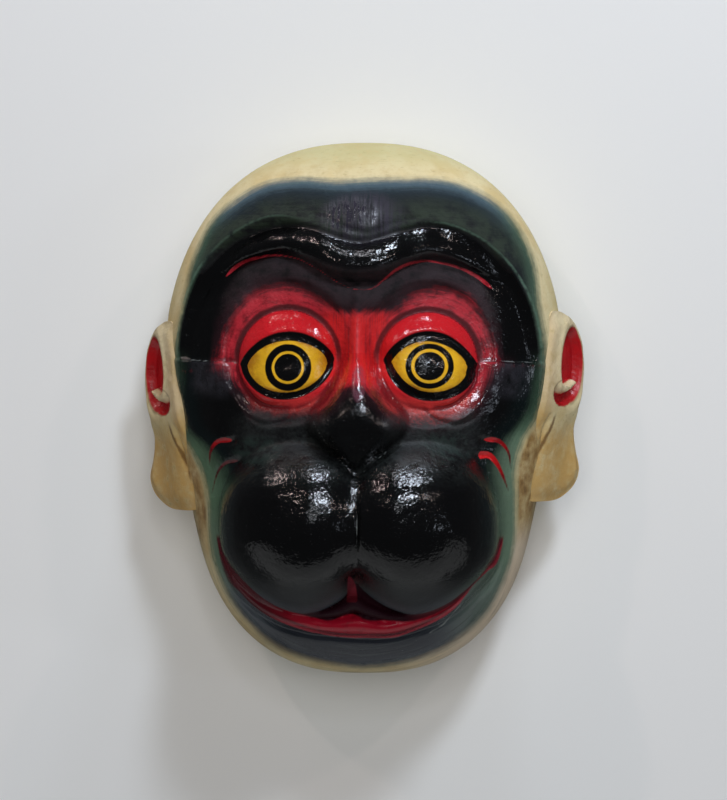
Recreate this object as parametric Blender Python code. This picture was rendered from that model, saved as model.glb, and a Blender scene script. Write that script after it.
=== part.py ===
"""Carved and lacquered wooden monkey mask, lying face up on its flat back rim.

Metres, +Z up. +Z is the way the face looks, +Y runs to the top of the head, +X is the viewer's right.
The mask is one block of wood, so it is one solid: face, ears and hollow back in a single shell.
The carving is drawn on a head 340 drawn millimetres high, and DRAWN turns a drawn millimetre into metres.
"""

import math

import bmesh
import bpy
import numpy as np

# Driving sizes, metres
HEAD_HEIGHT = 0.340
WALL = 0.012
RIM_WIDTH = 0.013
EAR_THICKNESS = 0.013
MUZZLE_WALL = 0.018
ROOF_WALL = 0.022

# Resolution of the carving
HEAD_CELLS = 150
SIDE_ROWS = 8
EAR_CELLS = 44
EAR_ROWS = 4
HOLLOW_CELLS = 22
HOLLOW_ROWS = 3
HEAD_SHARE_KEPT = 0.065
EAR_SHARE_KEPT = 0.08

# Points above this share of the cube's half side lie on its top face
TOP_FACE = 1.0 - 1e-6

# One drawn millimetre of the carving, and the middle of its outline
DRAWN = HEAD_HEIGHT / 340.0
CENTRE_Y = 10.0

# Skull, drawn millimetres
TOP_HALF_WIDTH, TOP_RISE, TOP_POWER = 129.0, 160.0, 2.35
JAW_HALF_WIDTH, JAW_DROP, JAW_POWER = 118.0, 180.0, 2.5
SILHOUETTE_Z, CROWN_Z, DOME_POWER = 50.0, 140.0, 2.2
WAIST_BLEND = 0.9
# The neck's pinch under each ear: inwards by, sine of its angle from the centre, run of that sine
NECK_PINCH, NECK_PINCH_AT, NECK_PINCH_RUN = 3.0, -0.6, 0.2
RIM_TUCK, TUCK_POWER = 0.03, 1.5
BELOW_RIM = 6.0
EDGE_FADE = 0.12

# Crest of the face: angle in degrees about (0, CREST_Y), radius, and how deep the face drops inside it
CREST_Y = 20.0
CREST = (
    (-90, 92, 0), (-60, 96, 0), (-30, 104, 0), (-8, 110, 4), (14, 115, 10), (34, 116, 11), (50, 112.5, 10),
    (64, 105, 7), (76, 92, 2), (89, 84, 0), (104, 94, 2), (117, 111, 7), (130, 118, 10),
    (147, 121, 11), (166, 118, 10), (188, 112, 4), (210, 104, 0), (240, 96, 0), (270, 92, 0),
)
CREST_RUN, CREST_START, CREST_LIP_RISE, CREST_LIP_RUN = 13.0, 0.12, 1.2, 3.0
CREST_FADE_START, CREST_FADE_RUN, CREST_FADE = 22.0, 45.0, 0.55

# Brow roll: x, y, half width, height
BROW_ROLL_ROUND, BROW_ROLL_SKEW, BROW_BAND_ROUND = 0.7, 0.3, 0.6
BROW_ROLL = (
    (-98, 80, 3, 0), (-80, 94, 6, 3.5), (-62, 101, 7.5, 6), (-45, 103.5, 8, 7.5), (-28, 98, 11, 10),
    (-12, 91, 12, 12), (2, 89, 11.5, 11.5), (14, 91, 12, 12), (28, 97, 10.5, 10), (42, 101.5, 9.5, 8),
    (57, 100, 9.5, 6.5), (74, 93, 8, 4.5), (92, 80, 3, 0),
)
# Second brow: x, y, half width, height
BROW_BAND = (
    (-80, 72, 5, 0), (-68, 81, 6.5, 1.5), (-55, 85.5, 7, 2), (-42, 85.5, 7, 2), (-28, 79, 7.5, 2),
    (-14, 70, 7.5, 2.2), (0, 66, 7, 2.5), (12, 68, 7.5, 2.2), (25, 76, 8, 2), (38, 80, 7.5, 2),
    (51, 81, 6.5, 2), (66, 76, 6.5, 1.5), (80, 66, 5, 0),
)
# Cut line between the brows: x, y, half width, depth
BROW_CUT = (
    (-88, 76, 0.6, 0), (-80, 85, 1.6, 1.6), (-64, 92.5, 2.2, 2), (-50, 94, 2, 1.8), (-38, 92, 1.6, 1.6),
    (-20, 82, 1.2, 1.3), (0, 72, 1.2, 1.3), (17, 78.5, 1.2, 1.3), (35, 88.5, 1.6, 1.6),
    (45, 89.8, 2, 1.8), (64, 85, 2.4, 2), (80, 76, 1.8, 1.6), (87, 70, 0.6, 0),
)
FOREHEAD_BUMP = {"x": 2.0, "y": 118.0, "run_x": 23.0, "run_y": 11.0, "rise": 5.5}
FOREHEAD_SWELL = {"x": 0.0, "y": 102.0, "run_x": 34.0, "run_y": 16.0, "rise": 6.0}
FOREHEAD_VALLEY = {"depth": 1.5, "run": 3.0, "end_x": 78.0, "fade": 40.0}
# Crease under the bump of the forehead, x and y
FOREHEAD_FOLD = (
    (-27.6, 120), (-19, 116), (-10.5, 112), (-3.8, 108.5),
    (6.7, 106.8), (17.3, 110.8), (26, 114.5), (36, 117),
)
FOLD_DEPTH, FOLD_RUN, FOLD_STEPS = 1.0, 1.6, 3

# Eyes: ball centre x, y and radius, and the angle where it runs out soft; the opening's corners, top and bottom,
# and how pointed its line is at the left and right corner, over and under
EYES = (
    {"ball": (-43.5, 30.0, 30.5), "soft": -50.0, "left": (-72.5, 27.5), "right": (-14.2, 30.5),
     "top": 46.3, "bottom": 5.5, "over": (0.8, 0.72), "under": (0.62, 0.52)},
    {"ball": (43.0, 29.0, 30.0), "soft": -130.0, "left": (16.2, 29.5), "right": (72.5, 27.5),
     "top": 46.6, "bottom": 4.6, "over": (0.75, 0.92), "under": (0.6, 0.44)},
)
SOCKET = {"half_x": 41.0, "half_y": 45.0, "above_ball": 4.0, "depth": 8.0, "round": 0.6}
BALL_RISE, BALL_ROUND, BALL_SOFTNESS, BALL_SOFT_START, BALL_SOFT_SPAN = 14.0, 0.5, 0.8, 0.25, 0.65
LID_DEPTH, LID_STEP, LID_START = 2.2, 1.6, 0.3
# Creases under each eye: centre x, y of the ends, sag, half length
BAGS = ((-53.0, -3.5, 6.5, 16.0), (58.5, -2.0, 8.0, 17.0))
BAG_CUT = {"depth": 1.5, "run": 1.4}
BAG_SWELL = {"rise": 0.9, "run": 3.0, "above": 4.0}
BAG_END, BAG_FADE = 1.15, 0.7

# Ledge from the outer corner of each eye to the crest, and the cheek pad under it
LEDGES = ((-112.0, 30.5, -73.0, 27.8), (108.0, 28.2, 73.0, 28.4))
LEDGE_LEAD, LEDGE_END, LEDGE_FADE = 0.3, 1.12, 0.5
PAD_RISE, PAD_FALL, PAD_STEP = 5.0, 38.0, 1.6

# Nose: y, half width, ridge height, flatness across
NOSE = (
    (70, 9, 139, 1.8), (52, 8.5, 142, 1.8), (36, 9.5, 145, 1.8), (20, 13, 149, 1.9), (6, 19.5, 154.5, 2.0),
    (-4, 25.5, 158, 2.3), (-12, 28, 158.5, 2.8), (-20, 24, 157, 3.2), (-31, 13, 154, 3.2), (-42, 3, 150, 3.0),
)
NOSE_FALL, NOSE_END_SLOPE, NOSE_REACH, NOSE_BLEND = 19.0, 2.0, 1.6, 5.0
NOSTRIL = {"x": 22.5, "y": -12.0, "run_x": 8.0, "run_y": 8.5, "rise": 4.0}

# Muzzle: two pressed balls
MUZZLE_X, MUZZLE_Y = 34.0, -72.5
MUZZLE_RX, MUZZLE_RY = 53.0, 55.0
MUZZLE_POWER, MUZZLE_LOW_POWER, MUZZLE_POWER_RUN = 2.2, 1.7, 40.0
MUZZLE_FOOT, MUZZLE_RISE = 100.0, 79.2
# The balls lean towards each other and are pressed together over a soft valley
MUZZLE_LEAN, MUZZLE_PRESS, MUZZLE_LEAST_PRESS = 0.17, 34.0, 0.01
CHEEK_BLEND = {"most": 11.0, "least": 0.6, "from_x": 19.0, "run_x": 24.0, "from_y": -100.0, "run_y": 50.0}
MUZZLE_GROOVE = {
    "half": 1.3, "depth": 2.4, "top": -36.0, "foot": -116.0, "fade": 6.0, "top_x": 2.6, "foot_x": 0.2,
}
NOTCH = {"x": -3.2, "top": -100.5, "foot": -121.0, "half": 4.2, "narrow": 0.3, "wall": 1.5, "depth": 9.0}

# Lips: x, y, half width, height
UPPER_LIP = (
    (-88, -86, 1, 0), (-80, -100, 3, 4), (-66, -114, 3.5, 6), (-44, -124.5, 3.5, 7), (-22, -127, 3.5, 7),
    (-8, -123.5, 4.5, 7), (-3, -121, 5, 7), (5, -124.5, 4.5, 7), (20, -129, 3.5, 7), (40, -127, 3.5, 7),
    (60, -116, 3.5, 6), (78, -97, 3, 4), (89, -81, 1, 0),
)
LOWER_LIP = (
    (-90, -86, 1, 0), (-82, -103, 3, 4), (-68, -119, 4, 6), (-52, -128.5, 5, 8), (-34, -133, 6, 9.5),
    (-16, -135, 6, 11), (0, -134.5, 7.5, 12), (16, -136, 6, 11), (34, -132.5, 5.5, 9.5),
    (54, -125, 4.5, 8), (70, -111.5, 4, 6), (84, -95, 3, 4), (91, -80, 1, 0),
)
LIP_ROUND = 0.6
LIP_CREASE = {"depth": 2.5, "run": 2.2, "below_lip": 1.0, "full_height": 6.0}

# Crescents cut in each cheek, from their blunt end to their point
CHEEK_CUTS = (
    ((-77, -20.5), (-86, -21.3), (-91, -27), (-92.5, -37)),
    ((-73, -33), (-81, -34.5), (-87, -41), (-91, -54)),
    ((76, -20), (85, -21), (91, -28), (92.8, -39)),
    ((73, -29.5), (80, -30), (86, -38), (91.5, -52)),
)
CHEEK_CUT = {"half": 2.4, "depth": 2.6, "taper": 0.65, "rise": 0.45}

# Ear: its bowl, the bowl's tail and the hook between them, on the ear's own plane of reach and height
BOWL = {"reach": 26.0, "height": 21.5, "half_reach": 15.0, "half_height": 24.5, "depth": 6.5, "wall": 0.4}
BOWL_TAIL = {"reach": 17.0, "height": 4.0, "half_reach": 14.0, "half_height": 9.0, "depth": 5.5, "wall": 0.4}
BOWL_RIM = {"at": 1.2, "run": 0.14, "rise": 1.0}
HOOK_POINTS = ((2.0, 15.0), (11.0, 8.0), (21.0, 6.5), (31.0, 10.5))
HOOK = {"half": 5.0, "taper": 0.7, "wall": 1.5, "lift": 0.5}
LOBE = {"top": -8.0, "fade": 12.0, "wave": 1.4, "wave_per_mm": 0.13, "sink": 0.5}
EAR_CREASE = {"reach": 3.0, "depth": 2.5, "run": 2.0, "top": -8.0, "foot": -44.0, "fade": 8.0}

# Ear's outline: height, distance of its root from the middle, edge's reach beyond the bowl, turn in degrees
EAR_TOP, EAR_BOTTOM = 55.0, -65.0
EAR_LIFTS = (0.0, 6.0)
EAR_ROOT_Z = 86.0
BOWL_REACH = BOWL["reach"] + BOWL["half_reach"]
EAR_OUTLINE = (
    (-65, 104, 6, 48), (-56, 105, 11, 48), (-46, 106.5, 11, 48), (-34, 109, 6, 50), (-22, 113, 2, 54),
    (-10, 117, 0.5, 58), (5, 119.5, 3, 60), (24, 120.5, 5, 60), (40, 121, 2, 60), (50, 121, -5, 60),
    (55, 121, -14, 60),
)
EAR_BURIED, EAR_SQUARENESS, LOBE_SQUARENESS = 9.0, 3.2, 4.5
EAR_EDGE_START, EAR_EDGE_FALL, EAR_BACK_RISE = 0.78, 3.0, 1.5

# Hollow behind the muzzle, which blends into the hollow behind the face
SNOUT_SQUARENESS, SNOUT_ROUND, SNOUT_BLEND = 2.4, 0.5, 12.0

BLACK_LACQUER = (0.012, 0.013, 0.014, 1.0)
LACQUER_ROUGHNESS = 0.16
SHARP_ANGLE = math.radians(40.0)

COLLECTION = "hanuman_mask"
HELPERS = "cutting_shapes"


def ease(t):
    t = np.clip(t, 0.0, 1.0)
    return t * t * (3.0 - 2.0 * t)


def soft_max(a, b, blend):
    share = np.clip(0.5 + 0.5 * (a - b) / blend, 0.0, 1.0)
    return b * (1.0 - share) + a * share + blend * share * (1.0 - share)


def spline(at, knots, values):
    """Smooth curve through the values at the knots, flat beyond its ends."""
    knots = np.asarray(knots, float)
    values = np.asarray(values, float)
    slopes = np.gradient(values, knots)
    at = np.clip(at, knots[0], knots[-1])
    index = np.clip(np.searchsorted(knots, at) - 1, 0, len(knots) - 2)
    span = knots[index + 1] - knots[index]
    t = (at - knots[index]) / span
    rise = values[index + 1] - values[index]
    start, end = slopes[index] * span, slopes[index + 1] * span
    return values[index] + t * (start + t * ((3 * rise - 2 * start - end) + t * (start + end - 2 * rise)))


def along(x, rows):
    """The rows' columns after the first, as smooth functions of x."""
    rows = np.array(rows, float)
    return [spline(x, rows[:, 0], rows[:, column]) for column in range(1, rows.shape[1])]


def slope_share(x, rows):
    """Turns a distance along y into one across a sloping band."""
    ahead = along(x + 0.5, rows)[0]
    behind = along(x - 0.5, rows)[0]
    return 1.0 / np.sqrt(1.0 + (ahead - behind) ** 2)


def across(x, y, rows):
    """Distance across a band given by rows, in half widths, with the band's other columns."""
    middle, *others = along(x, rows)
    return (y - middle) * slope_share(x, rows), others


def near_path(x, y, points):
    """Distance to a path through the points, and the share of the way along it."""
    best = np.full(np.shape(x), 1e9)
    share = np.zeros(np.shape(x))
    count = len(points) - 1
    for index, ((ax, ay), (bx, by)) in enumerate(zip(points, points[1:])):
        dx, dy = bx - ax, by - ay
        t = np.clip(((x - ax) * dx + (y - ay) * dy) / (dx * dx + dy * dy), 0.0, 1.0)
        distance = np.hypot(x - ax - t * dx, y - ay - t * dy)
        closer = distance < best
        best = np.where(closer, distance, best)
        share = np.where(closer, (index + t) / count, share)
    return best, share


def rounded(points, steps=8):
    """The points joined by a smooth path."""
    marks = np.linspace(0, len(points) - 1, steps * (len(points) - 1) + 1)
    knots = np.arange(len(points))
    xs = spline(marks, knots, [point[0] for point in points])
    ys = spline(marks, knots, [point[1] for point in points])
    return list(zip(xs, ys))


def squared_oval(angle, half_width, half_height, power):
    """Radius of an oval squared by its power: 2 is an ellipse."""
    share = np.abs(np.cos(angle) / half_width) ** power + np.abs(np.sin(angle) / half_height) ** power
    return share ** (-1 / power)


def outline_radius(angle):
    """Outline of the head seen from the front, from its centre."""
    top = squared_oval(angle, TOP_HALF_WIDTH, TOP_RISE, TOP_POWER)
    jaw = squared_oval(angle, JAW_HALF_WIDTH, JAW_DROP, JAW_POWER)
    upper = ease(0.5 + np.sin(angle) / WAIST_BLEND)
    pinch = NECK_PINCH * groove(np.sin(angle) - NECK_PINCH_AT, NECK_PINCH_RUN)
    return jaw * (1 - upper) + top * upper - pinch


def outline_share(x, y):
    return np.hypot(x, y - CENTRE_Y) / outline_radius(np.arctan2(y - CENTRE_Y, x))


def dome(share):
    return (1.0 - np.clip(share, 0.0, 1.0) ** DOME_POWER) ** (1.0 / DOME_POWER)


def hump(x, y, form):
    """A soft round swelling."""
    away = ((x - form["x"]) / form["run_x"]) ** 2 + ((y - form["y"]) / form["run_y"]) ** 2
    return form["rise"] * np.exp(-away)


def groove(distance, run):
    return np.exp(-((distance / run) ** 2))


def roll(distance, half, height, roundness, skew=0.0):
    """A rounded bar, its top pushed towards its lower edge by the skew."""
    t = np.clip(distance / half, -1, 1)
    t = t + skew * (1 - t * t)
    return height * np.clip(1 - t * t, 0, 1) ** roundness


def face_recess(x, y):
    """How far the face lies behind the skull, inside its crest."""
    angle = np.degrees(np.arctan2(y - CREST_Y, x))
    angle = np.where(angle < CREST[0][0], angle + 360, angle)
    radius, depth = along(angle, CREST)
    depth = np.maximum(depth, 0)
    inside = radius - np.hypot(x, y - CREST_Y)
    kept = 1.0 - CREST_FADE * ease((inside - CREST_FADE_START) / CREST_FADE_RUN)
    lip = CREST_LIP_RISE * groove(inside, CREST_LIP_RUN) * np.clip(depth / 10.0, 0, 1)
    return depth * ease(inside / CREST_RUN + CREST_START) * kept - lip


def brow(x, y):
    distance, (half, height) = across(x, y, BROW_ROLL)
    total = roll(distance, half, height, BROW_ROLL_ROUND, BROW_ROLL_SKEW)
    valley_y = along(x, BROW_ROLL)[0] + half
    valley = FOREHEAD_VALLEY["depth"] * groove(y - valley_y, FOREHEAD_VALLEY["run"])
    total -= valley * ease((FOREHEAD_VALLEY["end_x"] - np.abs(x)) / FOREHEAD_VALLEY["fade"])
    distance, (half, height) = across(x, y, BROW_BAND)
    total += roll(distance, half, height, BROW_BAND_ROUND)
    distance, (half, depth) = across(x, y, BROW_CUT)
    total -= depth * groove(distance, half)
    distance, _ = near_path(x, y, rounded(FOREHEAD_FOLD, FOLD_STEPS))
    total -= FOLD_DEPTH * groove(distance, FOLD_RUN)
    return total + hump(x, y, FOREHEAD_BUMP) + hump(x, y, FOREHEAD_SWELL)


def lens(x, y, eye):
    """Distance inside the lids' opening, below zero outside it."""
    (left_x, left_y), (right_x, right_y) = eye["left"], eye["right"]
    half = 0.5 * (right_x - left_x)
    middle = 0.5 * (right_x + left_x)
    middle_y = 0.5 * (left_y + right_y)
    t = np.clip((x - middle) / half, -1.0, 1.0)
    line = left_y + (right_y - left_y) * (0.5 + 0.5 * t)
    bows = []
    for left, right in (eye["over"], eye["under"]):
        bows.append((1.0 - t * t) ** (0.5 * (left + right) + 0.5 * (right - left) * t))
    upper = line + (eye["top"] - middle_y) * bows[0]
    lower = line - (middle_y - eye["bottom"]) * bows[1]
    return np.minimum(np.minimum(upper - y, y - lower), half - np.abs(x - middle))


def eyes(x, y):
    total = np.zeros(np.shape(x))
    for eye in EYES:
        ball_x, ball_y, radius = eye["ball"]
        socket_y = ball_y + SOCKET["above_ball"]
        hollow = ((x - ball_x) / SOCKET["half_x"]) ** 2 + ((y - socket_y) / SOCKET["half_y"]) ** 2
        total -= SOCKET["depth"] * np.clip(1 - hollow, 0, 1) ** SOCKET["round"]
        across_x, across_y = (x - ball_x) / radius, (y - ball_y) / radius
        turn = math.radians(eye["soft"])
        towards = across_x * math.cos(turn) + across_y * math.sin(turn)
        soft = BALL_SOFTNESS * ease((towards - BALL_SOFT_START) / BALL_SOFT_SPAN)
        total += BALL_RISE * np.clip(1 - across_x ** 2 - across_y ** 2, 0, 1) ** (BALL_ROUND + soft)
        total -= LID_DEPTH * ease(lens(x, y, eye) / LID_STEP + LID_START)
    for middle, ends_y, sag, half in BAGS:
        t = (x - middle) / half
        above = y - ends_y + sag * (1 - t * t)
        bag = BAG_SWELL["rise"] * groove(above - BAG_SWELL["above"], BAG_SWELL["run"])
        cut = BAG_CUT["depth"] * groove(above, BAG_CUT["run"])
        total += (bag - cut) * ease((BAG_END - np.abs(t)) / BAG_FADE)
    return total


def cheeks(x, y):
    total = np.zeros(np.shape(x))
    for outer_x, outer_y, inner_x, inner_y in LEDGES:
        t = np.clip((x - outer_x) / (inner_x - outer_x), -LEDGE_LEAD, 1 + LEDGE_LEAD)
        below = outer_y + (inner_y - outer_y) * t - y
        strength = ease((LEDGE_END - t) / LEDGE_FADE) * ease((t + LEDGE_LEAD) / LEDGE_LEAD)
        total += PAD_RISE * strength * ease(below / PAD_STEP + 0.5) * (1 - ease(below / PAD_FALL))
    for points in CHEEK_CUTS:
        distance, share = near_path(x, y, rounded(points, 4))
        width = CHEEK_CUT["half"] * (1 - CHEEK_CUT["taper"] * share)
        total -= CHEEK_CUT["depth"] * groove(distance, width) * (1 - CHEEK_CUT["rise"] * share)
    return total


def nose(x, y):
    half, ridge, flatness = along(-y, [(-row[0], *row[1:]) for row in NOSE])
    beyond = np.maximum(y - NOSE[0][0], 0) + np.maximum(NOSE[-1][0] - y, 0)
    form = ridge - NOSE_FALL * np.abs(x / half) ** flatness - NOSE_END_SLOPE * beyond
    form += hump(np.abs(x), y, NOSTRIL)
    return np.where(np.abs(x) < half * NOSE_REACH, form, 0.0)


def muzzle(x, y):
    power = MUZZLE_POWER + (MUZZLE_LOW_POWER - MUZZLE_POWER) * ease((MUZZLE_Y - y) / MUZZLE_POWER_RUN)
    balls, shares = [], []
    for side in (-1, 1):
        share = np.abs((x - side * MUZZLE_X) / MUZZLE_RX) ** power
        share += np.abs((y - MUZZLE_Y) / MUZZLE_RY) ** power
        left = np.clip(1 - share, 0, 1)
        lean = MUZZLE_LEAN * (side * x - MUZZLE_X) * np.sqrt(left)
        balls.append(MUZZLE_FOOT + MUZZLE_RISE * left ** (1 / MUZZLE_POWER) - lean)
        shares.append(share)
    nearest = np.minimum(*shares)
    total = soft_max(*balls, MUZZLE_PRESS * np.clip(1 - nearest, MUZZLE_LEAST_PRESS, 1))
    total = np.where(nearest < 1, total, 0.0)
    top, foot = MUZZLE_GROOVE["top"], MUZZLE_GROOVE["foot"]
    ends = ease((y - foot) / MUZZLE_GROOVE["fade"]) * ease((top - y) / MUZZLE_GROOVE["fade"])
    middle = MUZZLE_GROOVE["foot_x"]
    middle = middle + (MUZZLE_GROOVE["top_x"] - middle) * ease((y - foot) / (top - foot))
    total -= MUZZLE_GROOVE["depth"] * groove(x - middle, MUZZLE_GROOVE["half"]) * ends
    down = np.clip((NOTCH["top"] - y) / (NOTCH["top"] - NOTCH["foot"]), 0, 1)
    half = NOTCH["half"] * (NOTCH["narrow"] + down)
    cut = ease(NOTCH["wall"] - np.abs(x - NOTCH["x"]) / half)
    return total - NOTCH["depth"] * cut * ease(down / NOTCH["narrow"])


def lips(x, y):
    """Both lips under the muzzle, and the crease under the lower one."""
    distance, (half, height) = across(x, y, UPPER_LIP)
    upper = roll(distance, half, height, LIP_ROUND)
    distance, (half, height) = across(x, y, LOWER_LIP)
    lower = roll(distance, half, height, LIP_ROUND)
    crease = LIP_CREASE["depth"] * groove(distance + half + LIP_CREASE["below_lip"], LIP_CREASE["run"])
    return np.maximum(upper, lower) - crease * np.clip(height / LIP_CREASE["full_height"], 0, 1)


def front(x, y):
    """Height of the carved front over the back plane."""
    share = outline_share(x, y)
    body = SILHOUETTE_Z + (CROWN_Z - SILHOUETTE_Z) * dome(share)
    inner = ease((1.0 - share) / EDGE_FADE)
    body += (brow(x, y) - face_recess(x, y) + eyes(x, y) + cheeks(x, y)) * inner
    body = soft_max(body, nose(x, y), NOSE_BLEND)
    body += lips(x, y) * inner
    balls = muzzle(x, y)
    beside = ease((np.abs(x) - CHEEK_BLEND["from_x"]) / CHEEK_BLEND["run_x"])
    above = ease((y - CHEEK_BLEND["from_y"]) / CHEEK_BLEND["run_y"])
    blend = CHEEK_BLEND["least"] + CHEEK_BLEND["most"] * beside * above
    return np.where(balls > 0, soft_max(balls, body, blend), body)


def disc(a, b):
    """A square's point, moved to a round disc of radius 1."""
    return a * np.sqrt(1 - b * b / 2), b * np.sqrt(1 - a * a / 2)


def cube_points(cells, rows):
    """A cube with a fine top and a few rows of faces down its sides, as a mesh ready for shaping."""
    form = bmesh.new()
    bmesh.ops.create_cube(form, size=2.0)
    upright = [edge for edge in form.edges if abs(edge.verts[0].co.z - edge.verts[1].co.z) > 1]
    level = [edge for edge in form.edges if edge not in upright]
    bmesh.ops.subdivide_edges(form, edges=level, cuts=cells - 1, use_grid_fill=True)
    upright = [
        edge for edge in form.edges
        if abs(edge.verts[0].co.z - edge.verts[1].co.z) > 1e-4
    ]
    bmesh.ops.subdivide_edges(form, edges=upright, cuts=rows - 1, use_grid_fill=True)
    return form


def shape_object(name, form, shaping, collection):
    """An object made of the form, each point put where the shaping function says, in drawn millimetres."""
    mesh = bpy.data.meshes.new(name)
    form.to_mesh(mesh)
    form.free()
    points = np.empty(len(mesh.vertices) * 3, np.float32)
    mesh.vertices.foreach_get("co", points)
    points = points.reshape(-1, 3).astype(float)
    moved = shaping(points[:, 0], points[:, 1], points[:, 2]) * DRAWN
    mesh.vertices.foreach_set("co", moved.astype(np.float32).ravel())
    mesh.update()
    obj = bpy.data.objects.new(name, mesh)
    collection.objects.link(obj)
    return obj


def polar(a, b):
    """Angle, and share of the way out from the middle, of a point of the cube's square."""
    p, q = disc(np.clip(a, -1, 1), np.clip(b, -1, 1))
    return np.arctan2(q, p), np.hypot(p, q)


def dome_share(radius):
    """Spaces rings evenly along the dome's curve."""
    return np.sin(radius * math.pi / 2) ** (2 / DOME_POWER)


def head_shape(a, b, c):
    """The cube's top becomes the carved front, its sides the walls, its bottom a flat under the rim."""
    angle, radius = polar(a, b)
    reach = outline_radius(angle) * dome_share(radius)
    x, y = reach * np.cos(angle), CENTRE_Y + reach * np.sin(angle)
    down = (1 - c) / 2
    tucked = 1 - RIM_TUCK * down ** TUCK_POWER
    z = SILHOUETTE_Z - (SILHOUETTE_Z + BELOW_RIM) * down
    z = np.where((c > TOP_FACE) & (radius < TOP_FACE), front(x, y), z)
    return np.column_stack([x * tucked, CENTRE_Y + (y - CENTRE_Y) * tucked, z])


def hollow_shape(a, b, c):
    """The hollow behind the face: a smooth dome inside the walls, with a swelling behind the muzzle."""
    wall, rim, roof, snout = (size / DRAWN for size in (WALL, RIM_WIDTH, ROOF_WALL, MUZZLE_WALL))
    angle, radius = polar(a, b)
    down = (1 - c) / 2
    inset = wall + (rim - wall) * down
    reach = (outline_radius(angle) * (1 - RIM_TUCK * down ** TUCK_POWER) - inset) * dome_share(radius)
    x, y = reach * np.cos(angle), CENTRE_Y + reach * np.sin(angle)
    spring = SILHOUETTE_Z - wall
    roof_z = spring + (CROWN_Z - roof - spring) * dome(dome_share(radius))
    swell = np.abs(x / (MUZZLE_X + MUZZLE_RX - snout)) ** SNOUT_SQUARENESS
    swell += np.abs((y - MUZZLE_Y) / (MUZZLE_RY - snout)) ** SNOUT_SQUARENESS
    valley = MUZZLE_RISE * (1 - (MUZZLE_X / MUZZLE_RX) ** MUZZLE_POWER) ** (1 / MUZZLE_POWER)
    snout_z = MUZZLE_FOOT + (valley - snout) * np.clip(1 - swell, 0, 1) ** SNOUT_ROUND
    roof_z = np.where(swell < 1, soft_max(roof_z, snout_z, SNOUT_BLEND), roof_z)
    z = np.where(c > TOP_FACE, roof_z, spring - (spring + 2 * BELOW_RIM) * down)
    return np.column_stack([x, y, z])


def inside_ellipse(reach, height, form):
    across_share = ((reach - form["reach"]) / form["half_reach"]) ** 2
    return 1 - across_share - ((height - form["height"]) / form["half_height"]) ** 2


def ear_relief(reach, height):
    """Height of the ear's carving over its own plane: bowl, its tail, the hook between them, rim and lobe."""
    bowl = inside_ellipse(reach, height, BOWL)
    tail = inside_ellipse(reach, height, BOWL_TAIL)
    relief = -BOWL["depth"] * ease(bowl / BOWL["wall"])
    relief = np.minimum(relief, -BOWL_TAIL["depth"] * ease(tail / BOWL_TAIL["wall"]))
    distance, share = near_path(reach, height, rounded(HOOK_POINTS))
    hook = ease(HOOK["wall"] - distance / (HOOK["half"] * (1 - HOOK["taper"] * share)))
    relief = relief * (1 - hook) + hook * HOOK["lift"]
    ring = np.sqrt(np.maximum(1 - bowl, 0))
    relief += BOWL_RIM["rise"] * groove(ring - BOWL_RIM["at"], BOWL_RIM["run"])
    lobe = ease((LOBE["top"] - height) / LOBE["fade"])
    relief += lobe * (LOBE["wave"] * np.sin(reach * LOBE["wave_per_mm"]) - LOBE["sink"])
    ends = ease((EAR_CREASE["top"] - height) / EAR_CREASE["fade"])
    ends *= ease((height - EAR_CREASE["foot"]) / EAR_CREASE["fade"])
    return relief - EAR_CREASE["depth"] * ends * groove(reach - EAR_CREASE["reach"], EAR_CREASE["run"])


def ear_shape(side, lift):
    """Shaping function of the ear on one side, -1 for the left of the picture, lifted along the head."""
    thickness = EAR_THICKNESS / DRAWN
    middle, half = 0.5 * (EAR_TOP + EAR_BOTTOM), 0.5 * (EAR_TOP - EAR_BOTTOM)

    def shaping(a, b, c):
        angle, radius = polar(a, b)
        squareness = np.where(np.sin(angle) < 0, LOBE_SQUARENESS, EAR_SQUARENESS)
        square = radius * squared_oval(angle, 1.0, 1.0, squareness)
        height = middle + half * square * np.sin(angle)
        root_x, beyond, degrees = along(height, EAR_OUTLINE)
        turn_x, turn_z = np.cos(np.radians(degrees)), np.sin(np.radians(degrees))
        reach = (BOWL_REACH + beyond + EAR_BURIED) * (0.5 + 0.5 * square * np.cos(angle)) - EAR_BURIED
        edge = ease((radius - EAR_EDGE_START) / (1 - EAR_EDGE_START)) ** 2
        face = ear_relief(reach, height) - EAR_EDGE_FALL * edge
        back = EAR_BACK_RISE - thickness
        z = -EAR_EDGE_FALL + (back + EAR_EDGE_FALL) * (1 - c) / 2
        z = np.where(c > TOP_FACE, face, z)
        z = np.where(c < -TOP_FACE, -thickness + EAR_BACK_RISE * edge, z)
        x = root_x + reach * turn_x + z * turn_z
        depth = EAR_ROOT_Z - reach * turn_z + z * turn_x
        return np.column_stack([side * x, height + lift, depth])

    return shaping


def decimate(obj, share):
    modifier = obj.modifiers.new("fewer_faces", "DECIMATE")
    modifier.ratio = share
    return modifier


def combine(obj, other, operation):
    modifier = obj.modifiers.new(other.name, "BOOLEAN")
    modifier.operation = operation
    modifier.solver = "EXACT"
    modifier.object = other
    return modifier


def helper(obj):
    obj.hide_render = True
    obj.display_type = "WIRE"
    return obj


def flip_if_inside_out(obj):
    """Mirroring a shape turns its faces inwards, so they are turned back."""
    mesh = bmesh.new()
    mesh.from_mesh(obj.data)
    if mesh.calc_volume(signed=True) < 0:
        bmesh.ops.reverse_faces(mesh, faces=mesh.faces)
    mesh.to_mesh(obj.data)
    mesh.free()


def lacquer():
    """Black lacquer, the colour that covers most of the face."""
    material = bpy.data.materials.new("black_lacquer")
    material.use_nodes = True
    shader = material.node_tree.nodes["Principled BSDF"]
    shader.inputs["Base Color"].default_value = BLACK_LACQUER
    shader.inputs["Roughness"].default_value = LACQUER_ROUGHNESS
    shader.inputs["Metallic"].default_value = 0.0
    return material


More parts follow.
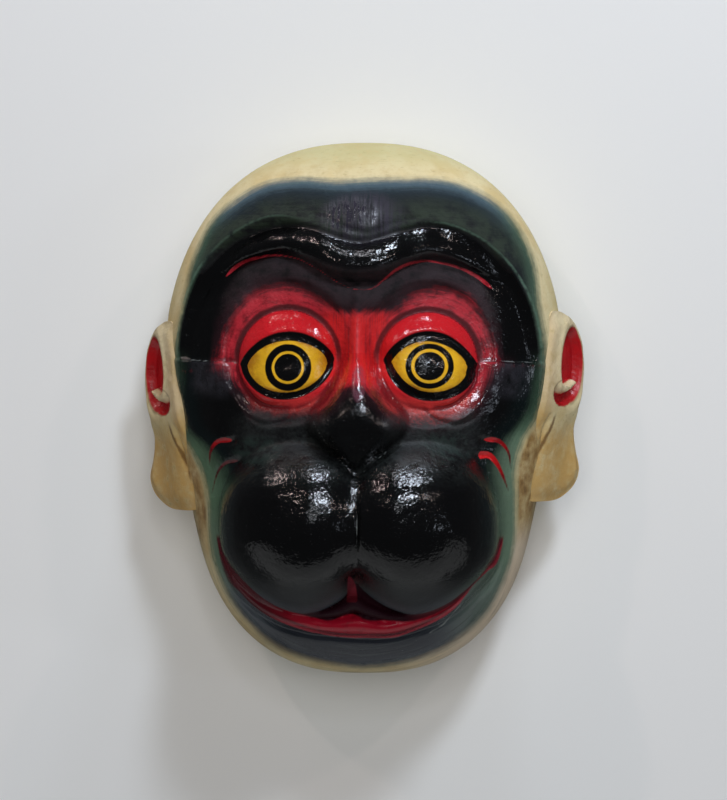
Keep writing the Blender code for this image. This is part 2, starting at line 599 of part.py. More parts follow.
def ground_cutter(collection):
    """Everything below the rim's plane is cut away, so the rim is flat."""
    bpy.ops.mesh.primitive_cube_add(size=2.0 * HEAD_HEIGHT)
    block = bpy.context.object
    block.name = "rim_plane_cutter"
    block.location.z = -HEAD_HEIGHT
    for owner in list(block.users_collection):
        owner.objects.unlink(block)
    collection.objects.link(block)
    return helper(block)


def centre_on_origin(objects, mask):
    """Puts the middle of the finished mask's box over the origin."""
    bpy.context.view_layer.update()
    finished = mask.evaluated_get(bpy.context.evaluated_depsgraph_get())
    corners = np.array([corner[:] for corner in finished.bound_box])
    middle = 0.5 * (corners.min(axis=0) + corners.max(axis=0))
    for obj in objects:
        for vertex in obj.data.vertices:
            vertex.co.x -= middle[0]
            vertex.co.y -= middle[1]


def main():
    for obj in list(bpy.data.objects):
        bpy.data.objects.remove(obj, do_unlink=True)
    parts = bpy.data.collections.new(COLLECTION)
    helpers = bpy.data.collections.new(HELPERS)
    bpy.context.scene.collection.children.link(parts)
    bpy.context.scene.collection.children.link(helpers)

    mask = shape_object("carved_mask", cube_points(HEAD_CELLS, SIDE_ROWS), head_shape, parts)
    flip_if_inside_out(mask)
    decimate(mask, HEAD_SHARE_KEPT)
    ears = []
    for name, side, lift in (("left_ear_form", -1, EAR_LIFTS[0]), ("right_ear_form", 1, EAR_LIFTS[1])):
        ear = helper(shape_object(name, cube_points(EAR_CELLS, EAR_ROWS), ear_shape(side, lift), helpers))
        flip_if_inside_out(ear)
        decimate(ear, EAR_SHARE_KEPT)
        combine(mask, ear, "UNION")
        ears.append(ear)
    hollow_grid = cube_points(HOLLOW_CELLS, HOLLOW_ROWS)
    hollow = helper(shape_object("hollow_form", hollow_grid, hollow_shape, helpers))
    flip_if_inside_out(hollow)
    combine(mask, hollow, "DIFFERENCE")
    combine(mask, ground_cutter(helpers), "DIFFERENCE")

    mask.data.materials.append(lacquer())
    mask.data.shade_smooth()
    mask.data.set_sharp_from_angle(angle=SHARP_ANGLE)
    centre_on_origin([mask, *ears, hollow], mask)


main()
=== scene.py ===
# Carved, painted and lacquered monkey mask, lying face up on its flat back rim.
# Metres, +Z out of the face, +Y to the crown, +X to the viewer's right.
# The carving is drawn in millimetres on a head 340 high, as in the solid part.

import math
from types import SimpleNamespace

import bpy
import numpy as np
from mathutils import Matrix, Vector


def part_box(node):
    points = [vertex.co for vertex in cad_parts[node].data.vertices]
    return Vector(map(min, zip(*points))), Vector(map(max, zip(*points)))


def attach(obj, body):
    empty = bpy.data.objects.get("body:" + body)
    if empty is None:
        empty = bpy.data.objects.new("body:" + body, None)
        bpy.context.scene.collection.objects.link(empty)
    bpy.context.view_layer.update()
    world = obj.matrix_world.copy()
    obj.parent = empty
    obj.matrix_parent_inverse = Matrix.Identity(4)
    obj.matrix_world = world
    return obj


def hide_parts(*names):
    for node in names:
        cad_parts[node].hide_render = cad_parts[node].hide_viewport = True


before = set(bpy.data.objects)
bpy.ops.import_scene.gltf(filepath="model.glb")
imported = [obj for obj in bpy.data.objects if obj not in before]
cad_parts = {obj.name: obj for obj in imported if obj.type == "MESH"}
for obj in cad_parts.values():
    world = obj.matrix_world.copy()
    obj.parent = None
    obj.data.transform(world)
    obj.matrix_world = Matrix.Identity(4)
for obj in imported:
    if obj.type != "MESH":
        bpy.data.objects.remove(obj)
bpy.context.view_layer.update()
maskLow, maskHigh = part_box("carved_mask")
print("frame loaded")

# camera and stage

view = {"lens": 105, "sensor": 36, "distance": 1.5, "aim": (0, 0.005, 0.05), "lean": 2.6, "far": 30}


def aimAlong(position, target, up):
    forward = (Vector(target) - Vector(position)).normalized()
    right = forward.cross(Vector(up)).normalized()
    over = right.cross(forward)
    turned = Matrix((right, over, -forward)).transposed().to_4x4()
    return Matrix.Translation(position) @ turned


def addToScene(obj):
    bpy.context.scene.collection.objects.link(obj)
    return obj


def makeCamera():
    camera = addToScene(bpy.data.objects.new("viewCamera", bpy.data.cameras.new("viewCamera")))
    camera.data.lens, camera.data.sensor_width = view["lens"], view["sensor"]
    camera.data.clip_end = view["far"]
    lean = math.radians(view["lean"])
    target = Vector(view["aim"])
    position = target + view["distance"] * Vector((math.sin(lean), 0, math.cos(lean)))
    camera.matrix_world = aimAlong(position, target, (0, 1, 0))
    bpy.context.scene.camera = camera


makeCamera()

# carving helpers


def ease(t):
    t = np.clip(t, 0, 1)
    return t * t * (3 - 2 * t)


def softMax(a, b, blend):
    share = np.clip(0.5 + 0.5 * (a - b) / blend, 0, 1)
    return b * (1 - share) + a * share + blend * share * (1 - share)


def spline(at, knots, values):
    # smooth curve through the values at the knots, flat beyond its ends
    knots, values = np.asarray(knots, float), np.asarray(values, float)
    slopes = np.gradient(values, knots)
    at = np.clip(at, knots[0], knots[-1])
    index = np.clip(np.searchsorted(knots, at) - 1, 0, len(knots) - 2)
    span = knots[index + 1] - knots[index]
    t = (at - knots[index]) / span
    rise = values[index + 1] - values[index]
    start, end = slopes[index] * span, slopes[index + 1] * span
    return values[index] + t * (start + t * ((3 * rise - 2 * start - end) + t * (start + end - 2 * rise)))


def along(x, rows):
    rows = np.array(rows, float)
    return [spline(x, rows[:, 0], rows[:, column]) for column in range(1, rows.shape[1])]


def across(x, y, rows):
    # distance across a band drawn by rows, with its other columns
    middle, *others = along(x, rows)
    slope = along(x + 0.5, rows)[0] - along(x - 0.5, rows)[0]
    return (y - middle) / np.sqrt(1 + slope ** 2), others


def nearPath(x, y, points):
    # distance to a path, and the share of the way along it
    best, share = np.full(np.shape(x), 1e9), np.zeros(np.shape(x))
    count = len(points) - 1
    for index, ((ax, ay), (bx, by)) in enumerate(zip(points, points[1:])):
        dx, dy = bx - ax, by - ay
        t = np.clip(((x - ax) * dx + (y - ay) * dy) / (dx * dx + dy * dy), 0, 1)
        distance = np.hypot(x - ax - t * dx, y - ay - t * dy)
        closer = distance < best
        best = np.where(closer, distance, best)
        share = np.where(closer, (index + t) / count, share)
    return best, share


def rounded(points, steps=8):
    marks = np.linspace(0, len(points) - 1, steps * (len(points) - 1) + 1)
    knots = np.arange(len(points))
    return list(zip(*(spline(marks, knots, values) for values in zip(*points))))


def groove(distance, run):
    return np.exp(-((distance / run) ** 2))


def roll(distance, half, height, roundness, skew=0):
    # a rounded bar, its top pushed towards its lower edge by the skew
    t = np.clip(distance / half, -1, 1)
    t = t + skew * (1 - t * t)
    return height * np.clip(1 - t * t, 0, 1) ** roundness


def hump(x, y, form):
    away = ((x - form["x"]) / form["runX"]) ** 2 + ((y - form["y"]) / form["runY"]) ** 2
    return form["rise"] * np.exp(-away)


# skull

skull = {
    "centreY": 10, "topHalfWidth": 129, "topRise": 160, "topPower": 2.35,
    "jawHalfWidth": 118, "jawDrop": 180, "jawPower": 2.5, "waistBlend": 0.9,
    "neckPinch": 3, "neckPinchAt": -0.6, "neckPinchRun": 0.2,
    "edgeHeight": 50, "crownHeight": 140, "domePower": 2.2,
    "tuck": 0.03, "tuckPower": 1.5, "edgeFade": 0.12,
}


def squaredOval(angle, halfWidth, halfHeight, power):
    share = np.abs(np.cos(angle) / halfWidth) ** power + np.abs(np.sin(angle) / halfHeight) ** power
    return share ** (-1 / power)


def outlineRadius(angle):
    top = squaredOval(angle, skull["topHalfWidth"], skull["topRise"], skull["topPower"])
    jaw = squaredOval(angle, skull["jawHalfWidth"], skull["jawDrop"], skull["jawPower"])
    upper = ease(0.5 + np.sin(angle) / skull["waistBlend"])
    pinch = skull["neckPinch"] * groove(np.sin(angle) - skull["neckPinchAt"], skull["neckPinchRun"])
    return jaw * (1 - upper) + top * upper - pinch


def outlineShare(x, y):
    up = y - skull["centreY"]
    return np.hypot(x, up) / outlineRadius(np.arctan2(up, x))


def dome(share):
    power = skull["domePower"]
    return (1 - np.clip(share, 0, 1) ** power) ** (1 / power)


# crest round the face: angle about its centre, radius, drop inside it

crest = {
    "y": 20, "run": 13, "start": 0.12, "lipRise": 1.2, "lipRun": 3,
    "fadeStart": 22, "fadeRun": 45, "fade": 0.55,
    "rows": (
        (-90, 92, 0), (-60, 96, 0), (-30, 104, 0), (-8, 110, 4), (14, 115, 10), (34, 116, 11),
        (50, 112.5, 10), (64, 105, 7), (76, 92, 2), (89, 84, 0), (104, 94, 2), (117, 111, 7), (130, 118, 10),
        (147, 121, 11), (166, 118, 10), (188, 112, 4), (210, 104, 0), (240, 96, 0), (270, 92, 0),
    ),
}


def insideRing(x, y, form):
    # mm inside a ring drawn by angle and radius about (0, y)
    angle = np.degrees(np.arctan2(y - form["y"], x))
    angle = np.where(angle < form["rows"][0][0], angle + 360, angle)
    radius, *others = along(angle, form["rows"])
    return radius - np.hypot(x, y - form["y"]), others


def faceRecess(x, y):
    inside, (depth,) = insideRing(x, y, crest)
    depth = np.maximum(depth, 0)
    kept = 1 - crest["fade"] * ease((inside - crest["fadeStart"]) / crest["fadeRun"])
    lip = crest["lipRise"] * groove(inside, crest["lipRun"]) * np.clip(depth / 10, 0, 1)
    return depth * ease(inside / crest["run"] + crest["start"]) * kept - lip


# brow: x, y, half width, height

brow = {
    "rollRound": 0.7, "rollSkew": 0.3, "bandRound": 0.6,
    "roll": (
        (-98, 80, 3, 0), (-80, 94, 6, 3.5), (-62, 101, 7.5, 6), (-45, 103.5, 8, 7.5), (-28, 98, 11, 10),
        (-12, 91, 12, 12), (2, 89, 11.5, 11.5), (14, 91, 12, 12), (28, 97, 10.5, 10), (42, 101.5, 9.5, 8),
        (57, 100, 9.5, 6.5), (74, 93, 8, 4.5), (92, 80, 3, 0),
    ),
    "band": (
        (-80, 72, 5, 0), (-68, 81, 6.5, 1.5), (-55, 85.5, 7, 2), (-42, 85.5, 7, 2), (-28, 79, 7.5, 2),
        (-14, 70, 7.5, 2.2), (0, 66, 7, 2.5), (12, 68, 7.5, 2.2), (25, 76, 8, 2), (38, 80, 7.5, 2),
        (51, 81, 6.5, 2), (66, 76, 6.5, 1.5), (80, 66, 5, 0),
    ),
    "cut": (
        (-88, 76, 0.6, 0), (-80, 85, 1.6, 1.6), (-64, 92.5, 2.2, 2), (-50, 94, 2, 1.8), (-38, 92, 1.6, 1.6),
        (-20, 82, 1.2, 1.3), (0, 72, 1.2, 1.3), (17, 78.5, 1.2, 1.3), (35, 88.5, 1.6, 1.6),
        (45, 89.8, 2, 1.8), (64, 85, 2.4, 2), (80, 76, 1.8, 1.6), (87, 70, 0.6, 0),
    ),
    "bump": {"x": 2, "y": 118, "runX": 23, "runY": 11, "rise": 5.5},
    "swell": {"x": 0, "y": 102, "runX": 34, "runY": 16, "rise": 6},
    "valleyDepth": 1.5, "valleyRun": 3, "valleyEnd": 78, "valleyFade": 40,
    "fold": (
        (-27.6, 120), (-19, 116), (-10.5, 112), (-3.8, 108.5),
        (6.7, 106.8), (17.3, 110.8), (26, 114.5), (36, 117),
    ),
    "foldDepth": 1, "foldRun": 1.6,
}


def browHeight(x, y):
    distance, (half, height) = across(x, y, brow["roll"])
    total = roll(distance, half, height, brow["rollRound"], brow["rollSkew"])
    valley = brow["valleyDepth"] * groove(y - along(x, brow["roll"])[0] - half, brow["valleyRun"])
    total -= valley * ease((brow["valleyEnd"] - np.abs(x)) / brow["valleyFade"])
    distance, (half, height) = across(x, y, brow["band"])
    total += roll(distance, half, height, brow["bandRound"])
    distance, (half, depth) = across(x, y, brow["cut"])
    total -= depth * groove(distance, half)
    total -= brow["foldDepth"] * groove(nearPath(x, y, rounded(brow["fold"], 3))[0], brow["foldRun"])
    return total + hump(x, y, brow["bump"]) + hump(x, y, brow["swell"])


# eyes

eyes = {
    # soft is the angle where the ball runs out into the cheek; over and under say how pointed the opening's
    # line is at its left and right corner
    "pair": (
        {"ball": (-43.5, 30, 30.5), "soft": -50, "left": (-72.5, 27.5), "right": (-14.2, 30.5),
         "top": 46.3, "bottom": 5.5, "over": (0.8, 0.72), "under": (0.62, 0.52)},
        {"ball": (43, 29, 30), "soft": -130, "left": (16.2, 29.5), "right": (72.5, 27.5),
         "top": 46.6, "bottom": 4.6, "over": (0.75, 0.92), "under": (0.6, 0.44)},
    ),
    "socketX": 41, "socketY": 45, "socketAbove": 4, "socketDepth": 8, "socketRound": 0.6,
    "ballRise": 14, "ballRound": 0.5, "ballSoftness": 0.8, "softStart": 0.25, "softSpan": 0.65,
    "lidDepth": 2.2, "lidStep": 1.6, "lidStart": 0.3,
    "bags": ((-53, -3.5, 6.5, 16), (58.5, -2, 8, 17)),
    "bagDepth": 1.5, "bagRun": 1.4, "bagRise": 0.9, "bagSwell": 3, "bagAbove": 4, "bagEnd": 1.15,
    "bagFade": 0.7,
}


def lens(x, y, eye):
    # mm inside an almond between two corners
    (leftX, leftY), (rightX, rightY) = eye["left"], eye["right"]
    half, middle = 0.5 * (rightX - leftX), 0.5 * (rightX + leftX)
    middleY = 0.5 * (leftY + rightY)
    t = np.clip((x - middle) / half, -1, 1)
    line = leftY + (rightY - leftY) * (0.5 + 0.5 * t)
    over, under = [(1 - t * t) ** (0.5 * (left + right) + 0.5 * (right - left) * t)
                   for left, right in (eye["over"], eye["under"])]
    upper = line + (eye["top"] - middleY) * over
    lower = line - (middleY - eye["bottom"]) * under
    return np.minimum(np.minimum(upper - y, y - lower), half - np.abs(x - middle))


def bagAbove(x, y, bag):
    middle, endsY, sag, half = bag
    t = (x - middle) / half
    return y - endsY + sag * (1 - t * t), ease((eyes["bagEnd"] - np.abs(t)) / eyes["bagFade"])


def eyesHeight(x, y):
    total = np.zeros(np.shape(x))
    for eye in eyes["pair"]:
        ballX, ballY, radius = eye["ball"]
        hollow = ((x - ballX) / eyes["socketX"]) ** 2
        hollow += ((y - ballY - eyes["socketAbove"]) / eyes["socketY"]) ** 2
        total -= eyes["socketDepth"] * np.clip(1 - hollow, 0, 1) ** eyes["socketRound"]
        acrossX, acrossY, turn = (x - ballX) / radius, (y - ballY) / radius, math.radians(eye["soft"])
        towards = acrossX * math.cos(turn) + acrossY * math.sin(turn)
        soft = eyes["ballSoftness"] * ease((towards - eyes["softStart"]) / eyes["softSpan"])
        ball = np.clip(1 - acrossX ** 2 - acrossY ** 2, 0, 1)
        total += eyes["ballRise"] * ball ** (eyes["ballRound"] + soft)
        total -= eyes["lidDepth"] * ease(lens(x, y, eye) / eyes["lidStep"] + eyes["lidStart"])
    for bag in eyes["bags"]:
        above, strength = bagAbove(x, y, bag)
        swell = eyes["bagRise"] * groove(above - eyes["bagAbove"], eyes["bagSwell"])
        total += (swell - eyes["bagDepth"] * groove(above, eyes["bagRun"])) * strength
    return total


# cheeks: temple ledges, pads under them and crescents cut beside the muzzle

cheeks = {
    "ledges": ((-112, 30.5, -73, 27.8), (108, 28.2, 73, 28.4)),
    "lead": 0.3, "end": 1.12, "fade": 0.5, "rise": 5, "fall": 38, "step": 1.6,
    "cuts": (
        ((-77, -20.5), (-86, -21.3), (-91, -27), (-92.5, -37)),
        ((-73, -33), (-81, -34.5), (-87, -41), (-91, -54)),
        ((76, -20), (85, -21), (91, -28), (92.8, -39)),
        ((73, -29.5), (80, -30), (86, -38), (91.5, -52)),
    ),
    "cutHalf": 2.4, "cutDepth": 2.6, "cutTaper": 0.65, "cutRise": 0.45,
}


def ledgeBelow(x, y, ledge):
    outerX, outerY, innerX, innerY = ledge
    lead = cheeks["lead"]
    t = np.clip((x - outerX) / (innerX - outerX), -lead, 1 + lead)
    strength = ease((cheeks["end"] - t) / cheeks["fade"]) * ease((t + lead) / lead)
    return outerY + (innerY - outerY) * t - y, strength


def cheeksHeight(x, y):
    total = np.zeros(np.shape(x))
    for ledge in cheeks["ledges"]:
        below, strength = ledgeBelow(x, y, ledge)
        step = cheeks["rise"] * strength * ease(below / cheeks["step"] + 0.5)
        total += step * (1 - ease(below / cheeks["fall"]))
    for points in cheeks["cuts"]:
        distance, share = nearPath(x, y, rounded(points, 4))
        width = cheeks["cutHalf"] * (1 - cheeks["cutTaper"] * share)
        total -= cheeks["cutDepth"] * groove(distance, width) * (1 - cheeks["cutRise"] * share)
    return total


# nose: y, half width, ridge height, flatness across

nose = {
    "rows": (
        (70, 9, 139, 1.8), (52, 8.5, 142, 1.8), (36, 9.5, 145, 1.8), (20, 13, 149, 1.9), (6, 19.5, 154.5, 2),
        (-4, 25.5, 158, 2.3), (-12, 28, 158.5, 2.8), (-20, 24, 157, 3.2), (-31, 13, 154, 3.2),
        (-42, 3, 150, 3),
    ),
    "fall": 19, "endSlope": 2, "reach": 1.6, "blend": 5,
    "nostril": {"x": 22.5, "y": -12, "runX": 8, "runY": 8.5, "rise": 4},
}


def noseHeight(x, y):
    half, ridge, flatness = along(-y, [(-row[0], *row[1:]) for row in nose["rows"]])
    beyond = np.maximum(y - nose["rows"][0][0], 0) + np.maximum(nose["rows"][-1][0] - y, 0)
    form = ridge - nose["fall"] * np.abs(x / half) ** flatness - nose["endSlope"] * beyond
    form += hump(np.abs(x), y, nose["nostril"])
    return np.where(np.abs(x) < half * nose["reach"], form, 0)


# muzzle: two pressed balls, their groove and the red notch under it

muzzle = {
    "x": 34, "y": -72.5, "radiusX": 53, "radiusY": 55, "power": 2.2, "lowPower": 1.7, "powerRun": 40,
    "foot": 100, "rise": 79.2, "lean": 0.17, "press": 34,
    "blend": {"most": 11, "least": 0.6, "fromX": 19, "runX": 24, "fromY": -100, "runY": 50},
    "groove": {"half": 1, "depth": 2.4, "top": -36, "foot": -116, "fade": 6, "atTop": 2.6, "atFoot": 0.2},
    "notch": {"x": -3.2, "top": -100.5, "foot": -121, "half": 4.2, "narrow": 0.3, "wall": 1.5, "depth": 9},
}


def muzzleShare(x, y, side):
    low = ease((muzzle["y"] - y) / muzzle["powerRun"])
    power = muzzle["power"] + (muzzle["lowPower"] - muzzle["power"]) * low
    share = np.abs((x - side * muzzle["x"]) / muzzle["radiusX"]) ** power
    return share + np.abs((y - muzzle["y"]) / muzzle["radiusY"]) ** power


def notchWall(x, y):
    # above 1 in the notch, below 0 outside it, with the share of the way down
    form = muzzle["notch"]
    down = np.clip((form["top"] - y) / (form["top"] - form["foot"]), 0, 1)
    half = form["half"] * (form["narrow"] + down)
    return form["wall"] - np.abs(x - form["x"]) / half, down


def grooveAt(y):
    cut = muzzle["groove"]
    up = ease((y - cut["foot"]) / (cut["top"] - cut["foot"]))
    return cut["atFoot"] + (cut["atTop"] - cut["atFoot"]) * up


def muzzleHeight(x, y):
    balls, shares = [], []
    for side in (-1, 1):
        share = muzzleShare(x, y, side)
        left = np.clip(1 - share, 0, 1)
        lean = muzzle["lean"] * (side * x - muzzle["x"]) * np.sqrt(left)
        balls.append(muzzle["foot"] + muzzle["rise"] * left ** (1 / muzzle["power"]) - lean)
        shares.append(share)
    nearest = np.minimum(*shares)
    total = softMax(*balls, muzzle["press"] * np.clip(1 - nearest, 0.01, 1))
    total = np.where(nearest < 1, total, 0)
    cut = muzzle["groove"]
    ends = ease((y - cut["foot"]) / cut["fade"]) * ease((cut["top"] - y) / cut["fade"])
    total -= cut["depth"] * groove(x - grooveAt(y), cut["half"]) * ends
    wall, down = notchWall(x, y)
    return total - muzzle["notch"]["depth"] * ease(wall) * ease(down / muzzle["notch"]["narrow"])


# lips: x, y, half width, height

lips = {
    "upper": (
        (-88, -86, 1, 0), (-80, -100, 3, 4), (-66, -114, 3.5, 6), (-44, -124.5, 3.5, 7), (-22, -127, 3.5, 7),
        (-8, -123.5, 4.5, 7), (-3, -121, 5, 7), (5, -124.5, 4.5, 7), (20, -129, 3.5, 7), (40, -127, 3.5, 7),
        (60, -116, 3.5, 6), (78, -97, 3, 4), (89, -81, 1, 0),
    ),
    "lower": (
        (-90, -86, 1, 0), (-82, -103, 3, 4), (-68, -119, 4, 6), (-52, -128.5, 5, 8), (-34, -133, 6, 9.5),
        (-16, -135, 6, 11), (0, -134.5, 7.5, 12), (16, -136, 6, 11), (34, -132.5, 5.5, 9.5),
        (54, -125, 4.5, 8), (70, -111.5, 4, 6), (84, -95, 3, 4), (91, -80, 1, 0),
    ),
    "round": 0.6, "creaseDepth": 2.5, "creaseRun": 2.2, "creaseBelow": 1, "creaseFull": 6,
}


def lipsHeight(x, y):
    distance, (half, height) = across(x, y, lips["upper"])
    upper = roll(distance, half, height, lips["round"])
    distance, (half, height) = across(x, y, lips["lower"])
    lower = roll(distance, half, height, lips["round"])
    crease = lips["creaseDepth"] * groove(distance + half + lips["creaseBelow"], lips["creaseRun"])
    return np.maximum(upper, lower) - crease * np.clip(height / lips["creaseFull"], 0, 1)


# slight unevenness of a hand-held gouge, in mm

handWork = {"seed": 7, "waves": 9, "longest": 70, "shortest": 16, "height": 0.16, "lacquerRun": 0.75}


def handWobble(x, y):
    chance = np.random.default_rng(handWork["seed"])
    total = np.zeros(np.shape(x))
    for wave in np.geomspace(handWork["longest"], handWork["shortest"], handWork["waves"]):
        turn, start = chance.uniform(0, 2 * math.pi, 2)
        height = handWork["height"] * math.sqrt(wave / handWork["shortest"])
        total += height * np.sin((x * math.cos(turn) + y * math.sin(turn)) * 2 * math.pi / wave + start)
    return total


def bodyHeight(x, y):
    # the face without the muzzle's balls
    share = outlineShare(x, y)
    edge, crown = skull["edgeHeight"], skull["crownHeight"]
    body = edge + (crown - edge) * dome(share)
    inner = ease((1 - share) / skull["edgeFade"])
    body += (browHeight(x, y) - faceRecess(x, y) + eyesHeight(x, y) + cheeksHeight(x, y)) * inner
    body = softMax(body, noseHeight(x, y), nose["blend"])
    return body + lipsHeight(x, y) * inner, inner


def carvedHeight(x, y):
    body, inner = bodyHeight(x, y)
    balls = muzzleHeight(x, y)
    form = muzzle["blend"]
    beside = ease((np.abs(x) - form["fromX"]) / form["runX"])
    blend = form["least"] + form["most"] * beside * ease((y - form["fromY"]) / form["runY"])
    body = np.where(balls > 0, softMax(balls, body, blend), body)
    return body + handWobble(x, y) * inner


def frontHeight(x, y):
    # the carving under its lacquer, which rounds each edge a little
    run, total = handWork["lacquerRun"], 0
    for stepX, shareX in ((-run, 0.25), (0, 0.5), (run, 0.25)):
        for stepY, shareY in ((-run, 0.25), (0, 0.5), (run, 0.25)):
            total = total + shareX * shareY * carvedHeight(x + stepX, y + stepY)
    return total


# grids turned into carved forms

# cells along x and y, and rows down the sides
grids = {"head": (236, 300, 7), "ear": (60, 96, 5), "hollow": (44, 56, 5), "inner": 0.08, "spread": 8}
finishes = {"paint": 0, "ear": 1, "wood": 2}


def quads(table):
    return np.column_stack([table[:-1, :-1].ravel(), table[:-1, 1:].ravel(),
                            table[1:, 1:].ravel(), table[1:, :-1].ravel()])


def edgeLoop(table):
    return np.concatenate([table[0, :-1], table[:-1, -1], table[-1, :0:-1], table[:0:-1, 0]])


def makeForm(name, shaping, finish, finelyBacked=False):
    # a cube with a fine top, rows down its sides and one back face or a fine one, moved by the shaping
    cellsX, cellsY, rows = grids[name]
    a, b = np.meshgrid(np.linspace(-1, 1, cellsX + 1), np.linspace(-1, 1, cellsY + 1))
    top = np.arange(a.size).reshape(a.shape)
    points = [np.column_stack([a.ravel(), b.ravel(), np.ones(a.size)])]
    faces = quads(top).tolist()
    ring = edgeLoop(top)
    rim = points[0][ring]
    count = a.size
    for row in range(1, rows + 1):
        lower = np.arange(count, count + len(ring))
        points.append(np.column_stack([rim[:, :2], np.full(len(rim), 1 - 2 * row / rows)]))
        nextRing, nextLower = np.roll(ring, -1), np.roll(lower, -1)
        faces += np.column_stack([ring, lower, nextLower, nextRing]).tolist()
        ring, count = lower, count + len(lower)
    if finelyBacked:
        back = np.zeros(a.shape, int)
        inner = (cellsX - 1) * (cellsY - 1)
        back[1:-1, 1:-1] = np.arange(count, count + inner).reshape(cellsY - 1, cellsX - 1)
        sides = np.split(ring, np.cumsum((cellsX, cellsY, cellsX)))
        back[0, :-1], back[:-1, -1], back[-1, :0:-1], back[:0:-1, 0] = sides
        points.append(np.column_stack([a[1:-1, 1:-1].ravel(), b[1:-1, 1:-1].ravel(), np.full(inner, -1)]))
        faces += quads(back)[:, ::-1].tolist()
    else:
        faces.append(ring[::-1].tolist())
    cube = np.vstack(points)
    mesh = bpy.data.meshes.new(name)
    mesh.from_pydata(shaping(cube[:, 0], cube[:, 1], cube[:, 2]).tolist(), [], faces)
    mesh.polygons.foreach_set("material_index", np.full(len(faces), finishes[finish], np.int32))
    mesh.update()
    return addToScene(bpy.data.objects.new(name, mesh))


def polar(a, b):
    p = np.clip(a, -1, 1) * np.sqrt(1 - np.clip(b, -1, 1) ** 2 / 2)
    q = np.clip(b, -1, 1) * np.sqrt(1 - np.clip(a, -1, 1) ** 2 / 2)
    return np.arctan2(q, p), np.hypot(p, q)


onTop = 1 - 1e-6


def headShape(a, b, c):
    angle, radius = polar(a, b)
    reach = outlineRadius(angle) * radius * (1 + grids["inner"] * (1 - radius ** grids["spread"]))
    x, y = reach * np.cos(angle), skull["centreY"] + reach * np.sin(angle)
    down = (1 - c) / 2
    tucked = 1 - skull["tuck"] * down ** skull["tuckPower"]
    z = np.where((c > onTop) & (radius < onTop), frontHeight(x, y), skull["edgeHeight"] * (1 - down))
    return np.column_stack([x * tucked, skull["centreY"] + (y - skull["centreY"]) * tucked, z])


# hollow behind the face

hollow = {"wall": 12, "rim": 13, "roof": 22, "snout": 18, "below": 12, "gouge": 0.5, "gougeRun": 17,
          "scoopLength": 1.4, "scoopShift": 0.13, "scoopTurn": 2.3, "scoopLevel": 1.2, "scoopFade": 0.15,
          "snoutSquareness": 2.4, "snoutBlend": 12}


def gougeMarks(x, y):
    # shallow overlapping scoops, as a curved gouge leaves them
    run = hollow["gougeRun"]
    row = np.floor(y / run + 0.5)
    shift = 0.5 * (row % 2) + hollow["scoopShift"] * np.sin(row * hollow["scoopTurn"])
    u = x / (run * hollow["scoopLength"]) + shift
    scoops = np.abs(np.sin(math.pi * u)) + np.abs(np.cos(math.pi * (y / run)))
    return hollow["gouge"] * (scoops - hollow["scoopLevel"])


def hollowShape(a, b, c):
    angle, radius = polar(a, b)
    share = np.sin(radius * math.pi / 2) ** (2 / skull["domePower"])
    down = (1 - c) / 2
    inset = hollow["wall"] + (hollow["rim"] - hollow["wall"]) * down
    tucked = 1 - skull["tuck"] * down ** skull["tuckPower"]
    reach = (outlineRadius(angle) * tucked - inset) * share
    x, y = reach * np.cos(angle), skull["centreY"] + reach * np.sin(angle)
    spring = skull["edgeHeight"] - hollow["wall"]
    roofZ = spring + (skull["crownHeight"] - hollow["roof"] - spring) * dome(share)
    snout = hollow["snout"]
    swell = np.abs(x / (muzzle["x"] + muzzle["radiusX"] - snout)) ** hollow["snoutSquareness"]
    swell += np.abs((y - muzzle["y"]) / (muzzle["radiusY"] - snout)) ** hollow["snoutSquareness"]
    power = muzzle["power"]
    valley = muzzle["rise"] * (1 - (muzzle["x"] / muzzle["radiusX"]) ** power) ** (1 / power)
    snoutZ = muzzle["foot"] + (valley - snout) * np.clip(1 - swell, 0, 1) ** 0.5
    roofZ = np.where(swell < 1, softMax(roofZ, snoutZ, hollow["snoutBlend"]), roofZ)
    roofZ = roofZ + gougeMarks(x, y) * ease((1 - share) / hollow["scoopFade"])
    z = np.where(c > onTop, roofZ, spring - (spring + hollow["below"]) * down)
    return np.column_stack([x, y, z])


# ears, each drawn on its own plane of reach and height

ears = {
    "top": 55, "bottom": -65, "lifts": (0, 6), "rootZ": 86, "thickness": 13,
    "bowlReach": 41,
    # height, distance of the root from the middle, edge's reach beyond the bowl, turn in degrees
    "outline": (
        (-65, 104, 6, 48), (-56, 105, 11, 48), (-46, 106.5, 11, 48), (-34, 109, 6, 50), (-22, 113, 2, 54),
        (-10, 117, 0.5, 58), (5, 119.5, 3, 60), (24, 120.5, 5, 60), (40, 121, 2, 60), (50, 121, -5, 60),
        (55, 121, -14, 60),
    ),
    "buried": 9, "squareness": 3.2, "lobeSquareness": 4.5, "edgeStart": 0.78, "edgeFall": 3, "backRise": 1.5,
    "bowl": {"reach": 26, "height": 21.5, "halfReach": 15, "halfHeight": 24.5, "depth": 6.5, "wall": 0.4},
    "tail": {"reach": 17, "height": 4, "halfReach": 14, "halfHeight": 9, "depth": 5.5, "wall": 0.4},
    "rimAt": 1.2, "rimRun": 0.14, "rimRise": 1,
    "hook": ((2, 15), (11, 8), (21, 6.5), (31, 10.5)),
    "hookHalf": 5, "hookTaper": 0.7, "hookWall": 1.5, "hookLift": 0.5,
    "lobeTop": -8, "lobeFade": 12, "lobeWave": 1.4, "lobeWavePerMm": 0.13, "lobeSink": 0.5,
    "crease": {"reach": 3, "depth": 2.5, "run": 2, "top": -8, "foot": -44, "fade": 8},
}


def insideEllipse(reach, height, form):
    wide = ((reach - form["reach"]) / form["halfReach"]) ** 2
    return 1 - wide - ((height - form["height"]) / form["halfHeight"]) ** 2


